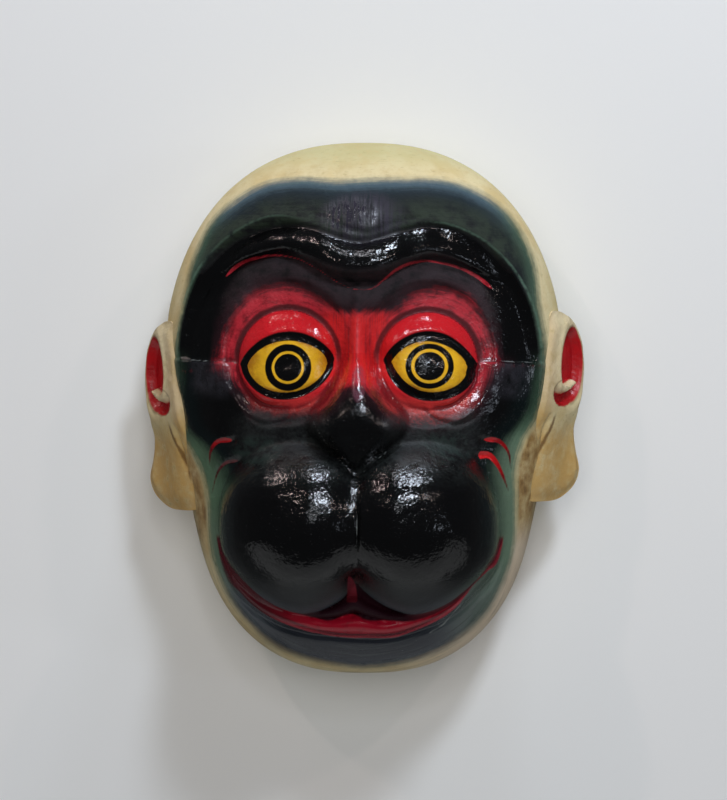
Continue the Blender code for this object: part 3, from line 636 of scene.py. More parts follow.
def hookShare(reach, height):
    distance, share = nearPath(reach, height, rounded(ears["hook"]))
    return ease(ears["hookWall"] - distance / (ears["hookHalf"] * (1 - ears["hookTaper"] * share)))


def earRelief(reach, height):
    bowl, tail = insideEllipse(reach, height, ears["bowl"]), insideEllipse(reach, height, ears["tail"])
    relief = -ears["bowl"]["depth"] * ease(bowl / ears["bowl"]["wall"])
    relief = np.minimum(relief, -ears["tail"]["depth"] * ease(tail / ears["tail"]["wall"]))
    hook = hookShare(reach, height)
    relief = relief * (1 - hook) + hook * ears["hookLift"]
    ring = np.sqrt(np.maximum(1 - bowl, 0))
    relief += ears["rimRise"] * groove(ring - ears["rimAt"], ears["rimRun"])
    lobe = ease((ears["lobeTop"] - height) / ears["lobeFade"])
    relief += lobe * (ears["lobeWave"] * np.sin(reach * ears["lobeWavePerMm"]) - ears["lobeSink"])
    cut = ears["crease"]
    ends = ease((cut["top"] - height) / cut["fade"]) * ease((height - cut["foot"]) / cut["fade"])
    return relief - cut["depth"] * ends * groove(reach - cut["reach"], cut["run"])


def earSection(height):
    # where the ear starts at a height, how far it reaches and which way it turns
    rootX, beyond, degrees = along(height, ears["outline"])
    return rootX, ears["bowlReach"] + beyond, np.cos(np.radians(degrees)), np.sin(np.radians(degrees))


def earShape(side, lift):
    middle, half = 0.5 * (ears["top"] + ears["bottom"]), 0.5 * (ears["top"] - ears["bottom"])

    def shaping(a, b, c):
        angle, radius = polar(a * side, b)
        squareness = np.where(np.sin(angle) < 0, ears["lobeSquareness"], ears["squareness"])
        square = radius * squaredOval(angle, 1, 1, squareness)
        height = middle + half * square * np.sin(angle)
        rootX, outer, turnX, turnZ = earSection(height)
        reach = (outer + ears["buried"]) * (0.5 + 0.5 * square * np.cos(angle)) - ears["buried"]
        edge = ease((radius - ears["edgeStart"]) / (1 - ears["edgeStart"])) ** 2
        face = earRelief(reach, height) - ears["edgeFall"] * edge
        back = ears["backRise"] - ears["thickness"]
        z = -ears["edgeFall"] + (back + ears["edgeFall"]) * (1 - c) / 2
        z = np.where(c > onTop, face, z)
        z = np.where(c < -onTop, -ears["thickness"] + ears["backRise"] * edge, z)
        x = rootX + reach * turnX + z * turnZ
        depth = ears["rootZ"] - reach * turnZ + z * turnX
        return np.column_stack([side * x, height + lift, depth])

    return shaping


def combine(obj, other, operation):
    modifier = obj.modifiers.new(other.name, "BOOLEAN")
    modifier.operation, modifier.solver, modifier.object = operation, "MANIFOLD", other


def carveMask():
    head = makeForm("head", headShape, "paint")
    tools = []
    for side, lift in zip((-1, 1), ears["lifts"]):
        ear = makeForm("ear", earShape(side, lift), "ear", True)
        combine(head, ear, "UNION")
        tools.append(ear)
    inside = makeForm("hollow", hollowShape, "wood")
    combine(head, inside, "DIFFERENCE")
    tools.append(inside)
    for obj in [head] + tools:
        for _ in finishes:
            obj.data.materials.append(None)
    carved = bpy.data.meshes.new_from_object(head.evaluated_get(bpy.context.evaluated_depsgraph_get()))
    for obj in [head] + tools:
        bpy.data.objects.remove(obj, do_unlink=True)
    carved.name = "lacqueredMask"
    return addToScene(bpy.data.objects.new("lacqueredMask", carved))


mask = carveMask()
points = np.empty(len(mask.data.vertices) * 3)
mask.data.vertices.foreach_get("co", points)
points = points.reshape(-1, 3)
print("carved", len(points), "points")

# where each paint lies, in mm from its edge and above zero inside it

paint = {
    "edge": {"y": 0, "rows": (
        (-90, 165), (-75, 162), (-59, 152.4), (-45.5, 133.8), (-32.3, 114), (-22, 103.5), (-11.4, 103),
        (-0.7, 111.7), (17, 120.6), (30, 128.3), (40, 141), (53.6, 152.4), (63.8, 152.5), (83.6, 142),
        (96.5, 141), (105, 147), (114.3, 152), (121.2, 151.6), (128.4, 150), (135.1, 143.5), (140.1, 138.4),
        (146.2, 131), (150, 128), (166, 121), (186.4, 117), (194, 109), (203, 106.5), (211.4, 111),
        (223.3, 128.8), (234, 145.3), (248, 158.2), (270, 165),
    )},
    "lowest": 50,
    "redLine": (
        (-88, 77, -2), (-82, 83.5, 0.8), (-74, 89.5, 1), (-64, 92.8, 0.8), (-50, 94.2, 0.7), (-38, 92, 0.55),
        (-24, 84.5, 0.4), (-10, 75.6, 0.35), (0, 72, 0.35), (10, 73.2, 0.4), (17, 79, 0.6), (26, 85.6, 0.8),
        (38, 90, 0.7), (52, 89, 0.7), (64, 85.5, 0.9), (73, 81, 1.1), (80, 75.8, 1), (87, 69.5, -2),
    ),
    "redTop": (
        (-93, 22), (-87, 41), (-80, 57), (-68, 71), (-51, 76.5), (-36, 74.7), (-20, 66.8), (-9, 60),
        (1, 59.5), (13, 60), (24, 62), (32, 69.8), (46, 73.8), (62, 72), (72, 66), (81, 47), (89, 26),
    ),
    "redFoot": (
        (-93, 24), (-82, 19), (-71, 9.7), (-64, 0.6), (-54, -2.5), (-40, -4), (-33, -3.4), (-22, -1),
        (-13, 5.5), (-7, 11), (2, 11.5), (9, 8), (21, -3), (32, -8), (47, -9), (62, -5), (73, 4),
        (82, 18), (89, 26),
    ),
    "lipMiddle": (
        (-96, -60), (-85, -93), (-71, -111), (-58, -119.6), (-45, -124.5), (-29, -128.7), (-18, -130.8),
        (-5, -126.8), (6, -130.4), (16, -130.6), (32, -130.9), (51, -124.6), (64, -115.7), (77, -100.5),
        (89, -82), (98, -50),
    ),
    "lipFoot": (
        (-93, -60), (-87, -95.6), (-74, -115), (-61, -126.6), (-45, -134), (-30, -139), (-6, -142.8),
        (6, -142.8), (23, -142.2), (32, -139), (48, -131.4), (59, -123.7), (72, -107.2), (79, -100.8),
        (87, -91), (94, -50),
    ),
    "eyes": (
        {"left": (-67.8, 26.4), "right": (-18.5, 28), "top": 41.1, "bottom": 9.6,
         "over": (0.72, 0.56), "under": (0.58, 0.57),
         "iris": (-42.1, 24.8), "rings": (8.4, 9.9, 14.3), "flat": 1},
        {"left": (20.8, 28.3), "right": (66.7, 25), "top": 40.6, "bottom": 9.8,
         "over": (0.85, 0.6), "under": (0.8, 0.48),
         "iris": (43.95, 25.5), "rings": (9.2, 11.2, 14.6), "flat": 0.94},
    ),
    "ringsDrawn": (9, 10.8, 14.4), "farAway": 90,
    "ridgeRun": 2.5, "sweep": 110,
    # thin painted highlights along edges and creases: half width, points
    "wornLines": (
        (0.35, ((-109, 30.4), (-96, 29.3), (-76, 28.2))), (0.35, ((107, 28.4), (92, 28.8), (73, 28.6))),
        (0.32, ((-26, -8), (-20, -18), (-13.5, -26.8), (-7, -34), (-1, -40))),
        (0.3, ((18.9, -25.6), (12, -31), (4.6, -38))),
        (0.4, ((2.6, -40), (2.4, -55), (1.4, -75), (0.6, -97))),
        (0.5, ((43, -140), (52, -134.5), (60, -124.5), (65, -118))),
    ),
    "notch": {"x": -3.9, "top": -99.5, "foot": -119, "half": 3.7, "round": 0.6},
    "cutShifts": ((-0.9, 0.9), (-0.9, 0.9), (0.9, 0.9), (0.6, 0.8)), "cutHalf": (1.7, 1.2, 1.6, 2.3),
    "cutBlunt": (0.16, 0.16, 0.16, 0.04), "cutBrights": (0.62, 0.2, 0.7, 1.5),
    "cutStart": 0.5, "cutEnd": 0.7, "lidSweep": 45,
}


def ridgeOf(x, y):
    # mm that a point stands over the ring of points round it
    turns = np.arange(8) * math.pi / 4
    run = paint["ridgeRun"]
    ring = [carvedHeight(x + run * math.cos(turn), y + run * math.sin(turn)) for turn in turns]
    return carvedHeight(x, y) - np.mean(ring, axis=0)


def cutPaint(x, y):
    # red on the lit wall of each cut, brightest at its blunt end
    inside, bright = np.full(np.shape(x), -9), np.zeros(np.shape(x))
    for cut, (shiftX, shiftY), half, blunt, brightness in zip(
            cheeks["cuts"], paint["cutShifts"], paint["cutHalf"], paint["cutBlunt"], paint["cutBrights"]):
        distance, share = nearPath(x - shiftX, y - shiftY, rounded(cut, 4))
        width = np.clip(share / blunt, 0, 1) ** paint["cutStart"] * (1 - share) ** paint["cutEnd"]
        field = half * width - distance
        bright = np.where(field > inside, brightness * (1 - share), bright)
        inside = np.maximum(inside, field)
    return inside, bright


def headFields(x, y, z):
    fields = {}
    ring, _ = insideRing(x, y, paint["edge"])
    fields["paintIn"] = np.minimum(ring, z - paint["lowest"])
    fields["crestIn"], _ = insideRing(x, y, crest)
    angle = np.arctan2(y - paint["edge"]["y"], x)
    fields["ringX"], fields["ringY"] = paint["sweep"] * np.cos(angle), paint["sweep"] * np.sin(angle)
    distance, (half,) = across(x, y, paint["redLine"])
    fields["redLineIn"] = half - np.abs(distance)
    fields["redIn"] = np.minimum(-across(x, y, paint["redTop"])[0], across(x, y, paint["redFoot"])[0])
    fields["lipMiddleIn"] = across(x, y, paint["lipMiddle"])[0]
    fields["lipIn"] = across(x, y, paint["lipFoot"])[0]
    fields["browIn"] = -across(x, y, [(row[0], row[1] + row[2]) for row in brow["roll"]])[0]
    body, inner = bodyHeight(x, y)
    fields["onBall"] = np.clip(muzzleHeight(x, y) - body, -9, 9)
    lids, open_, yellow, iris = [], [], [], []
    for eye, painted in zip(eyes["pair"], paint["eyes"]):
        lids.append(eye["ball"][2] - np.hypot(x - eye["ball"][0], y - eye["ball"][1]))
        open_.append(lens(x, y, eye))
        yellow.append(lens(x, y, painted))
        away = np.hypot((x - painted["iris"][0]), (y - painted["iris"][1]) / painted["flat"])
        known, drawn = (0, *painted["rings"], paint["farAway"]), (0, *paint["ringsDrawn"], paint["farAway"])
        iris.append(np.interp(away, known, drawn))
    fields["lidIn"], fields["eyeIn"] = np.maximum(*lids), np.maximum(*open_)
    ballX, ballY = [np.where(x < 0, *[eye["ball"][axis] for eye in eyes["pair"]]) for axis in (0, 1)]
    angle = np.arctan2(y - ballY, x - ballX)
    fields["lidX"], fields["lidY"] = paint["lidSweep"] * np.cos(angle), paint["lidSweep"] * np.sin(angle)
    fields["yellowIn"], fields["irisAway"] = np.maximum(*yellow), np.minimum(*iris)
    share = np.minimum(muzzleShare(x, y, -1), muzzleShare(x, y, 1))
    fields["muzzleIn"] = (1 - np.sqrt(share)) * muzzle["radiusX"]
    form = paint["notch"]
    down = (form["top"] - y) / (form["top"] - form["foot"])
    half = form["half"] * np.clip(down, 0, 1) ** form["round"]
    inside = np.minimum(half - np.abs(x - form["x"]), y - form["foot"])
    fields["notchIn"] = np.where(down < 0, -1, inside)
    fields["cutIn"], fields["cutBright"] = cutPaint(x, y)
    ledges = [ledgeBelow(x, y, ledge)[0] for ledge in cheeks["ledges"]]
    fields["belowLedge"] = np.where(x < 0, ledges[0], ledges[1])
    # painted highlights: mm inside the thin pale lines along edges and creases
    lines = [half - nearPath(x, y, points)[0] for half, points in paint["wornLines"]]
    fields["wornIn"] = np.max(lines, axis=0)
    fields["ridge"] = ridgeOf(x, y) * inner
    return fields


def earFields(x, y, z):
    # the ears' own plane, worked back from where each point lies
    height = y - np.where(x > 0, ears["lifts"][1], ears["lifts"][0])
    rootX, _, turnX, turnZ = earSection(height)
    out, deep = np.abs(x) - rootX, z - ears["rootZ"]
    reach = out * turnX - deep * turnZ
    bowl, tail = insideEllipse(reach, height, ears["bowl"]), insideEllipse(reach, height, ears["tail"])
    fields = {"earReach": reach, "earHeight": height, "earFace": out * turnZ + deep * turnX}
    fields["bowlIn"] = bowl * ears["bowl"]["halfReach"] / 2
    fields["tailIn"] = tail * ears["tail"]["halfReach"] / 2
    fields["hookIn"] = hookShare(reach, height)
    return fields


def layOut(fields):
    for name, values in fields.items():
        made = mask.data.attributes.new(name, "FLOAT", "POINT")
        made.data.foreach_set("value", np.asarray(values, np.float32))
    return list(fields)


headNames = layOut(headFields(*points.T))
layOut(earFields(*points.T))
print("paint laid out")

# fitted to the solid's own box

fit = {"clear": 0.00005, "rimHeight": 0.0005, "rimFacing": -0.9, "sharp": 50}


def fitToBox():
    low, high = points.min(axis=0), points.max(axis=0)
    boxLow = np.array(maskLow) + fit["clear"]
    boxHigh = np.array(maskHigh) - fit["clear"]
    boxLow[2] = maskLow[2]
    moved = boxLow + (points - low) / (high - low) * (boxHigh - boxLow)
    mask.data.vertices.foreach_set("co", moved.astype(np.float32).ravel())
    mask.data.update()


def finishFaces():
    # the flat rim is bare wood, and smooth shading stops at sharp edges
    for face in mask.data.polygons:
        if face.center.z < fit["rimHeight"] and face.normal.z < fit["rimFacing"]:
            face.material_index = finishes["wood"]
    mask.data.shade_smooth()
    mask.data.set_sharp_from_angle(angle=math.radians(fit["sharp"]))


fitToBox()
finishFaces()

# shader helpers


def shade(red, green, blue):
    # a screen colour as the shader's own
    values = [value / 255 for value in (red, green, blue)]
    return (*[v / 12.92 if v <= 0.04045 else ((v + 0.055) / 1.055) ** 2.4 for v in values], 1)


def shades(**screens):
    return {name: shade(*screen) for name, screen in screens.items()}


class Field:
    # a number, colour or place over the surface; what is done with it adds nodes to its tree
    def __init__(self, bench, socket):
        self.bench, self.socket = bench, socket

    def __rsub__(self, other):
        return self.bench.maths("SUBTRACT", other, self)

    def scaled(self, times, plus):
        return self.bench.maths("MULTIPLY_ADD", self, times, plus)

    def plus(self, other, times=1):
        return other.scaled(times, self)

    def span(self, low, high):
        # a smooth step, 0 at low and 1 at high
        return self.bench.add("MapRange", {0: self, 1: low, 2: high}, interpolation_type="SMOOTHSTEP")

    def stretched(self, *runs):
        return self.bench.add("VectorMath", {0: self, 1: runs}, operation="DIVIDE")

    def coat(self, share, over):
        return self.bench.colour(share, self, over)


# a | b is the larger of the two
sums = {"__add__": "ADD", "__sub__": "SUBTRACT", "__mul__": "MULTIPLY", "__truediv__": "DIVIDE",
        "__or__": "MAXIMUM", "__abs__": "ABSOLUTE"}
for sign, operation in sums.items():
    setattr(Field, sign, lambda self, other=0, kind=operation: self.bench.maths(kind, self, other))


class NodeBench:
    # adds nodes to a tree, fed by numbers, colours, names of its paints or fields
    def __init__(self, tree, paints):
        self.tree, self.paints = tree, paints

    def feed(self, socket, value):
        if isinstance(value, Field):
            self.tree.links.new(value.socket, socket)
        else:
            socket.default_value = self.paints[value] if isinstance(value, str) else value

    def add(self, kind, feeds, output=0, **settings):
        made = self.tree.nodes.new("ShaderNode" + kind)
        for key, value in settings.items():
            setattr(made, key, value)
        for key, value in feeds.items():
            self.feed(made.inputs[key], value)
        if output is None:
            return {socket.name: Field(self, socket) for socket in made.outputs}
        return Field(self, made.outputs[output])

    def maths(self, operation, a, b=0, c=0):
        return self.add("Math", {0: a, 1: b, 2: c}, operation=operation)

    def colour(self, share, under, over):
        return self.add("Mix", {0: share, 6: under, 7: over}, 2, data_type="RGBA")

    def read(self, name):
        return self.add("Attribute", {}, "Fac", attribute_name=name)

    def where(self):
        # object coordinates in mm
        place = self.add("TexCoord", {}, "Object")
        return self.add("VectorMath", {0: place, "Scale": 1000}, operation="SCALE")

    def noise(self, place, size, detail=2, rough=0.5, warp=0):
        feeds = {"Vector": place, "Scale": 1 / size, "Detail": detail, "Roughness": rough, "Distortion": warp}
        return self.add("TexNoise", feeds, "Fac")

    def group(self, tree, **feeds):
        return self.add("Group", feeds, None, node_tree=tree)

    def finish(self, colour, rough, height=None):
        # into the material's own shader
        feeds = {"Base Color": colour, "Roughness": rough}
        if height:
            feeds["Normal"] = self.add("Bump", {"Distance": skin["bump"], "Height": height})
        for name, value in feeds.items():
            self.feed(self.tree.nodes["Principled BSDF"].inputs[name], value)


def startMaterial(name, paints):
    material = bpy.data.materials.new(name)
    material.use_nodes = True
    return material, NodeBench(material.node_tree, paints)


def startGroup(name, inputs, outputs, paints=None):
    tree = bpy.data.node_groups.new(name, "ShaderNodeTree")
    for way, sockets in (("INPUT", inputs), ("OUTPUT", outputs)):
        for socketName, kind in sockets.items():
            tree.interface.new_socket(socketName, in_out=way, socket_type="NodeSocket" + kind)
    bench = NodeBench(tree, paints)
    given = {socket.name: Field(bench, socket) for socket in tree.nodes.new("NodeGroupInput").outputs}
    return bench, given, tree.nodes.new("NodeGroupOutput").inputs


# lacquer's skin: brushed on thick, so it lies in soft waves with a fine orange peel

skin = {"waveSize": 5, "waveHeight": 0.50, "rippleSize": 1.9, "rippleHeight": 0.20,
        "peelSize": 0.9, "peelHeight": 0.07, "dustSize": 1.6, "dustFrom": 0.66, "dustAt": 0.74,
        "poreHeight": 0.05, "bump": 0.001}


def lacquerSkinGroup():
    bench, given, result = startGroup("lacquerSkin", {"Where": "Vector", "Strength": "Float"},
                                      {"Height": "Float", "Dust": "Float"})
    place = given["Where"]
    height = bench.noise(place, skin["waveSize"], 2, 0.5, 0.4) * skin["waveHeight"]
    height = height.plus(bench.noise(place, skin["rippleSize"], 1), skin["rippleHeight"])
    height = height.plus(bench.noise(place, skin["peelSize"], 1), skin["peelHeight"])
    bench.feed(result["Height"], height * given["Strength"])
    dust = bench.noise(place, skin["dustSize"], 3, 0.7)
    bench.feed(result["Dust"], dust.span(skin["dustFrom"], skin["dustAt"]))
    return bench.tree


# brush strokes: long thin streaks along x or y, from -1 to 1

strokes = {"Level": (34, 1.5, 17), "Upright": (1.5, 34, 17)}


def brushStrokesGroup():
    bench, given, result = startGroup("brushStrokes", {"Where": "Vector"}, dict.fromkeys(strokes, "Float"))
    for name, runs in strokes.items():
        streak = bench.noise(given["Where"].stretched(*runs), 1, 3, 0.6, 0.5)
        bench.feed(result[name], streak.scaled(2, -1))
    return bench.tree


# cream paint, yellowed, with fine level pores and grime where it was rubbed least

cream = shades(fresh=(215, 200, 156), warm=(204, 182, 130), green=(176, 174, 124), pore=(118, 96, 56),
               grime=(126, 100, 58))


def creamPaintGroup():
    bench, given, result = startGroup(
        "creamPaint", {"Where": "Vector", "Ageing": "Float", "Ridge": "Float", "Green": "Float"},
        {"Colour": "Color", "Height": "Float"}, cream)
    place, ageing = given["Where"], given["Ageing"]
    clouds, mottle = bench.noise(place, 26, 3, 0.55), bench.noise(place, 5, 4, 0.65)
    pores = bench.noise(place.stretched(6, 0.8, 3), 1, 3, 0.7, 0.4).span(0.60, 0.72)
    colour = bench.colour(clouds.span(0.35, 0.68), "fresh", "warm").coat(given["Green"], "green")
    colour = colour.coat(mottle.span(0.45, 0.75) * ageing * 0.55, "warm").coat(pores * ageing * 0.45, "pore")
    hollowed = given["Ridge"].plus(mottle, -0.5).span(-0.1, -0.9)
    bench.feed(result["Colour"], colour.coat(hollowed * ageing * 0.7, "grime"))
    bench.feed(result["Height"], pores * -skin["poreHeight"])
    return bench.tree


groups = {"skin": lacquerSkinGroup(), "strokes": brushStrokesGroup(), "cream": creamPaintGroup()}

# face paint

facePaint = shades(
    black=(6, 6, 7), greenBlack=(8, 17, 18), slateBlue=(66, 86, 96), crownDark=(20, 40, 50),
    sideGreen=(58, 82, 64), teal=(86, 112, 88), slate=(68, 74, 82), chinDark=(24, 27, 37),
    ringLight=(112, 132, 112), rosyCream=(218, 200, 178), neckAmber=(150, 112, 54), neckBrown=(96, 66, 34),
    olive=(42, 54, 40), arris=(92, 122, 104), moundPlum=(48, 44, 56), browPlum=(44, 33, 37),
    plum=(46, 22, 28), crimson=(184, 42, 54), red=(198, 30, 38), bridgeRed=(216, 36, 38),
    deepRed=(88, 14, 22), creaseRed=(66, 6, 12), bagRed=(216, 68, 64), yellow=(232, 178, 38),
    stain=(160, 94, 22), pale=(238, 204, 104),
    lipPlum=(34, 6, 16), lipDark=(78, 10, 22), lipRed=(160, 14, 38), lipEdge=(176, 60, 72),
    notchRed=(128, 40, 52), cutDark=(64, 8, 16), cutRed=(214, 26, 32), underGrey=(38, 39, 41),
    padGrey=(48, 47, 53), mossBlack=(31, 35, 34), mossGreen=(33, 48, 43), streakGrey=(72, 76, 82),
    nosePlum=(112, 66, 80), dust=(150, 150, 150), worn=(150, 156, 154),
)
lacquer = {"rough": 0.11, "cream": 0.20, "satin": 0.72, "mottle": 0.06, "chin": 0.12, "dust": 0.15,
           "calmed": 0.65, "strokeHeight": 0.03, "lineHeight": 0.06}


def faceMarks(bench):
    # what the coats of paint share: place, the fields laid on the head, brush strokes and unevenness
    at = SimpleNamespace(bench=bench, place=bench.where(), **{name: bench.read(name) for name in headNames})
    at.x, at.y, at.z = bench.add("SeparateXYZ", {0: at.place}, None).values()
    at.side = abs(at.x)
    stroke = bench.group(groups["strokes"], Where=at.place)
    at.level, at.upright = stroke["Level"], stroke["Upright"]
    swept = bench.add("CombineXYZ", {0: at.ringX, 1: at.ringY, 2: at.paintIn})
    at.sweep = bench.noise(swept.stretched(30, 30, 1.2), 1, 3, 0.65, 0.4).scaled(2, -1)
    arced = bench.add("CombineXYZ", {0: at.lidX, 1: at.lidY, 2: at.lidIn})
    at.arc = bench.noise(arced.stretched(15, 15, 1.7), 1, 4, 0.7, 0.8).scaled(2, -1)
    at.wobble = bench.noise(at.place, 5, 3, 0.6).scaled(2, -1)
    at.mottle, at.speckle = bench.noise(at.place, 9, 4, 0.6), bench.noise(at.place, 1.8, 4, 0.7)
    return at


def patch(at, centreX, centreY, runX, runY):
    # 1 in the middle of an oval patch, 0 at its edge
    u, v = at.x.scaled(1 / runX, -centreX / runX), at.y.scaled(1 / runY, -centreY / runY)
    return v.scaled(v, u * u).span(1, 0.25)


def creamCoat(at):
    # cream head, and the blue, green and slate that the black fades through at its edge
    x, y, sweep, wobble, paintIn = at.x, at.y, at.sweep, at.wobble, at.paintIn
    base = at.bench.group(groups["cream"], Where=at.place, Ageing=0.8, Ridge=at.ridge,
                          Green=paintIn.span(-3, -22) * 0.6)
    chin, crown = y.span(-88, -118), y.span(100, 124)
    low = y.span(-8, -40) * (1 - chin)
    soft = y.plus(wobble, 7)
    neck = soft.span(0, -20) * soft.span(-100, -66) * paintIn.span(-1, -4) * at.z.plus(wobble, 9).span(34, 70)
    colour = base["Colour"].coat(neck * at.mottle.span(0.2, 0.6) * 0.85, "neckAmber")
    colour = colour.coat(neck * at.mottle.plus(at.upright, 0.2).span(0.5, 0.72) * 0.6, "neckBrown")
    colour = colour.coat(y.span(-66, -90) * x.span(0, 70) * 0.75, "rosyCream")
    shifted = paintIn.plus(wobble, 1.2).plus(sweep, 2.6).plus(chin, -1.8)
    ring = at.bench.colour(y.span(8, -30), "sideGreen", "teal")
    ring = ring.coat(crown * at.side.span(104, 74), "slateBlue").coat(chin, "slate")
    lit = sweep.span(0, 0.6) * 0.5 | x.span(40, 90) * y.span(-2, -30) * 0.6
    ring = ring.coat(lit | x.span(-72, -92) * y.span(-56, -80) * 0.6, "ringLight")
    colour = colour.coat(shifted.span(-4.5, 3), ring).coat(crown * shifted.span(2, 9), "crownDark")
    fade = ((shifted - 1) / crown.scaled(5, low.scaled(10, 11))).span(0, 1)
    colour = colour.coat(fade * (1 - chin * 0.93), "greenBlack")
    colour = colour.coat(chin * patch(at, -4, -142, 70, 22) * 0.8, "chinDark")
    colour = colour.coat(chin * sweep.span(0.05, 0.45) * paintIn.span(0, 5) * 0.4, "streakGrey")
    colour = colour.coat(chin * sweep.span(-0.05, -0.4) * 0.5, "greenBlack")
    return colour, base["Height"], shifted.span(3.5, -2.5), chin


def crestCoat(at, colour, chin):
    # black inside the crest, a painted highlight along its sharp edge, the olive valley and the plum mound
    # above the brow
    y, side, mottle, browIn = at.y, at.side, at.mottle, at.browIn
    above = y.span(10, 40)
    colour = colour.coat(at.crestIn.plus(at.wobble).span(0, 3) * above, "black")
    colour = colour.coat((at.paintIn - y.span(-8, -40) * 7).span(13, 25) * (1 - chin), "black")
    # painted highlight: a thin pale green line along the crest's sharp edge, broken by the mottle
    line = abs(at.crestIn.plus(at.wobble, 0.5)).span(1.3, 0.1)
    colour = colour.coat(line * above * side.span(30, 62) * mottle.span(0.36, 0.6) * 0.55, "arris")
    valley = browIn.span(0, -5) * browIn.span(-24, -9) * y.span(84, 98)
    valley = valley * mottle.plus(at.level, 0.2).span(0.3, 0.62) * at.paintIn.span(2, 8)
    colour = colour.coat(valley * 0.7, "olive")
    colour = colour.coat(patch(at, 2, 117, 30, 20) * at.upright.span(-0.5, 0.3) * 0.85, "moundPlum")
    plum = browIn.span(13, 24) * y.span(34, 56) * side.span(94, 68) * mottle.plus(at.arc, 0.2).span(0.25, 0.6)
    return colour.coat(plum * 0.85, "browPlum")


def lidCrease(at):
    # the crease over each lid, where the red is darkened as painted shade and the lacquer is dull
    return abs((at.lidIn + 1.8).plus(at.wobble, 0.6)).span(2.4, 0.8) * at.y.span(24, 36)


def redCoat(at, colour):
    # red round the eyes, brushed out into plum, with painted shade in its folds and along the crease over
    # each lid, and the line between the brows
    y, side, mottle = at.y, at.side, at.mottle
    redIn = at.redIn.plus(at.wobble, 2.6).plus(at.arc, 3.4)
    below = y.span(14, 2)
    colour = colour.coat(redIn.span(-9, 1) * y.span(112, 78) * side.span(100, 84) * 0.8, "plum")
    depth = mottle.plus(at.arc, 0.36).span(0.20, 0.66)
    orbit = at.bench.colour(depth, "deepRed", "crimson").coat(below * depth.span(-0.7, 0.5), "bagRed")
    colour = colour.coat(redIn.span(below.scaled(-1.5, -1.5), below.scaled(4, 7)), orbit)
    lid = at.lidIn.plus(at.wobble, 1.2).span(-1, 2) * redIn.span(0, 6) * mottle.span(0.1, 0.4)
    colour = colour.coat(lid * (1 - below * 0.6), "red")
    bridge = side.span(28, 14) * y.span(6, 20) * y.span(66, 52) * redIn.span(-1, 5)
    colour = colour.coat(bridge * at.upright.plus(mottle, 0.5).span(-0.4, 0.45), "bridgeRed")
    # painted shade: the red darkened to deep red in the carving's hollows and folds
    foldShade = at.ridge.span(-0.05, -0.45) * redIn.span(-2, 2)
    colour = colour.coat(foldShade * (1 - side.span(28, 16) * y.span(12, 24) * 0.8) * 0.8, "deepRed")
    # painted shade along the crease over each lid
    colour = colour.coat(lidCrease(at) * redIn.span(-2, 2) * 0.85, "creaseRed")
    line = at.redLineIn.plus(at.wobble, 0.25).span(-0.25, 0.4)
    return colour.coat(line * 0.85, at.bench.colour(depth, "creaseRed", "crimson")), line


def muzzleCoat(at, colour):
    # the balls' mossy tops, grey low on them that is partly dust and partly painted reflection, grey streaks
    # low on their sides, slate pads and a painted lilac highlight down the nose
    y, side, mottle, muzzleIn = at.y, at.side, at.mottle, at.muzzleIn
    top = y.span(-50, -36) * y.span(2, -10) * side.span(84, 62)
    top = top * at.speckle.plus(mottle, 0.7).span(0.70, 0.98) * (1 - patch(at, 0, -8, 27, 36) * 0.9)
    colour = colour.coat(top * 0.8, "mossBlack")
    for centre in ((-62, -26), (54, -24)):
        colour = colour.coat(patch(at, *centre, 19, 11) * mottle.span(0.4, 0.6) * 0.6, "mossGreen")
    # the balls' lower part: black, and lower down a grey that is partly dust and partly painted reflection
    under = at.onBall.span(0.5, 1.5) * y.span(-78, -92) * muzzleIn.plus(at.sweep, 3).span(1, 8)
    colour = colour.coat(under * 0.9, at.bench.colour(y.span(-98, -116), "black", "underGrey"))
    low = muzzleIn.span(1, 3) * muzzleIn.span(15, 6) * y.span(-84, -98) * side.span(30, 46)
    colour = colour.coat(low * at.sweep.span(0, 0.4) * 0.35, "streakGrey")
    below = at.belowLedge.plus(at.wobble)
    pad = below.span(0, 2) * below.span(26, 14) * side.span(74, 84) * side.span(110, 98)
    colour = colour.coat(pad * mottle.span(0.2, 0.7) * 0.9, "padGrey")
    # painted highlight: a lilac streak down the nose's ridge
    return colour.coat(patch(at, 1.5, 15, 5, 13) * mottle.span(0.25, 0.6) * 0.75, "nosePlum")


def eyeCoat(at, colour):
    mottle, drawn = at.mottle, at.wobble * 0.22
    ring, yellowIn = at.irisAway.plus(drawn), at.yellowIn + drawn
    white = at.bench.colour(mottle.span(0.52, 0.75) * 0.45, "yellow", "pale")
    stained = ring.span(15, 25) * mottle.span(0.25, 0.55) * 0.8
    stained = stained | yellowIn.span(2.6, 0.3) * mottle.span(0.3, 0.7) * 0.9
    blacks = ring.span(9.3, 8.7) | ring.span(10.5, 11.1) * ring.span(14.7, 14.1)
    colour = colour.coat((at.eyeIn + drawn).span(-0.9, 0.1), "black")
    return colour.coat(yellowIn.span(-0.3, 0.4), white.coat(stained, "stain").coat(blacks, "black"))


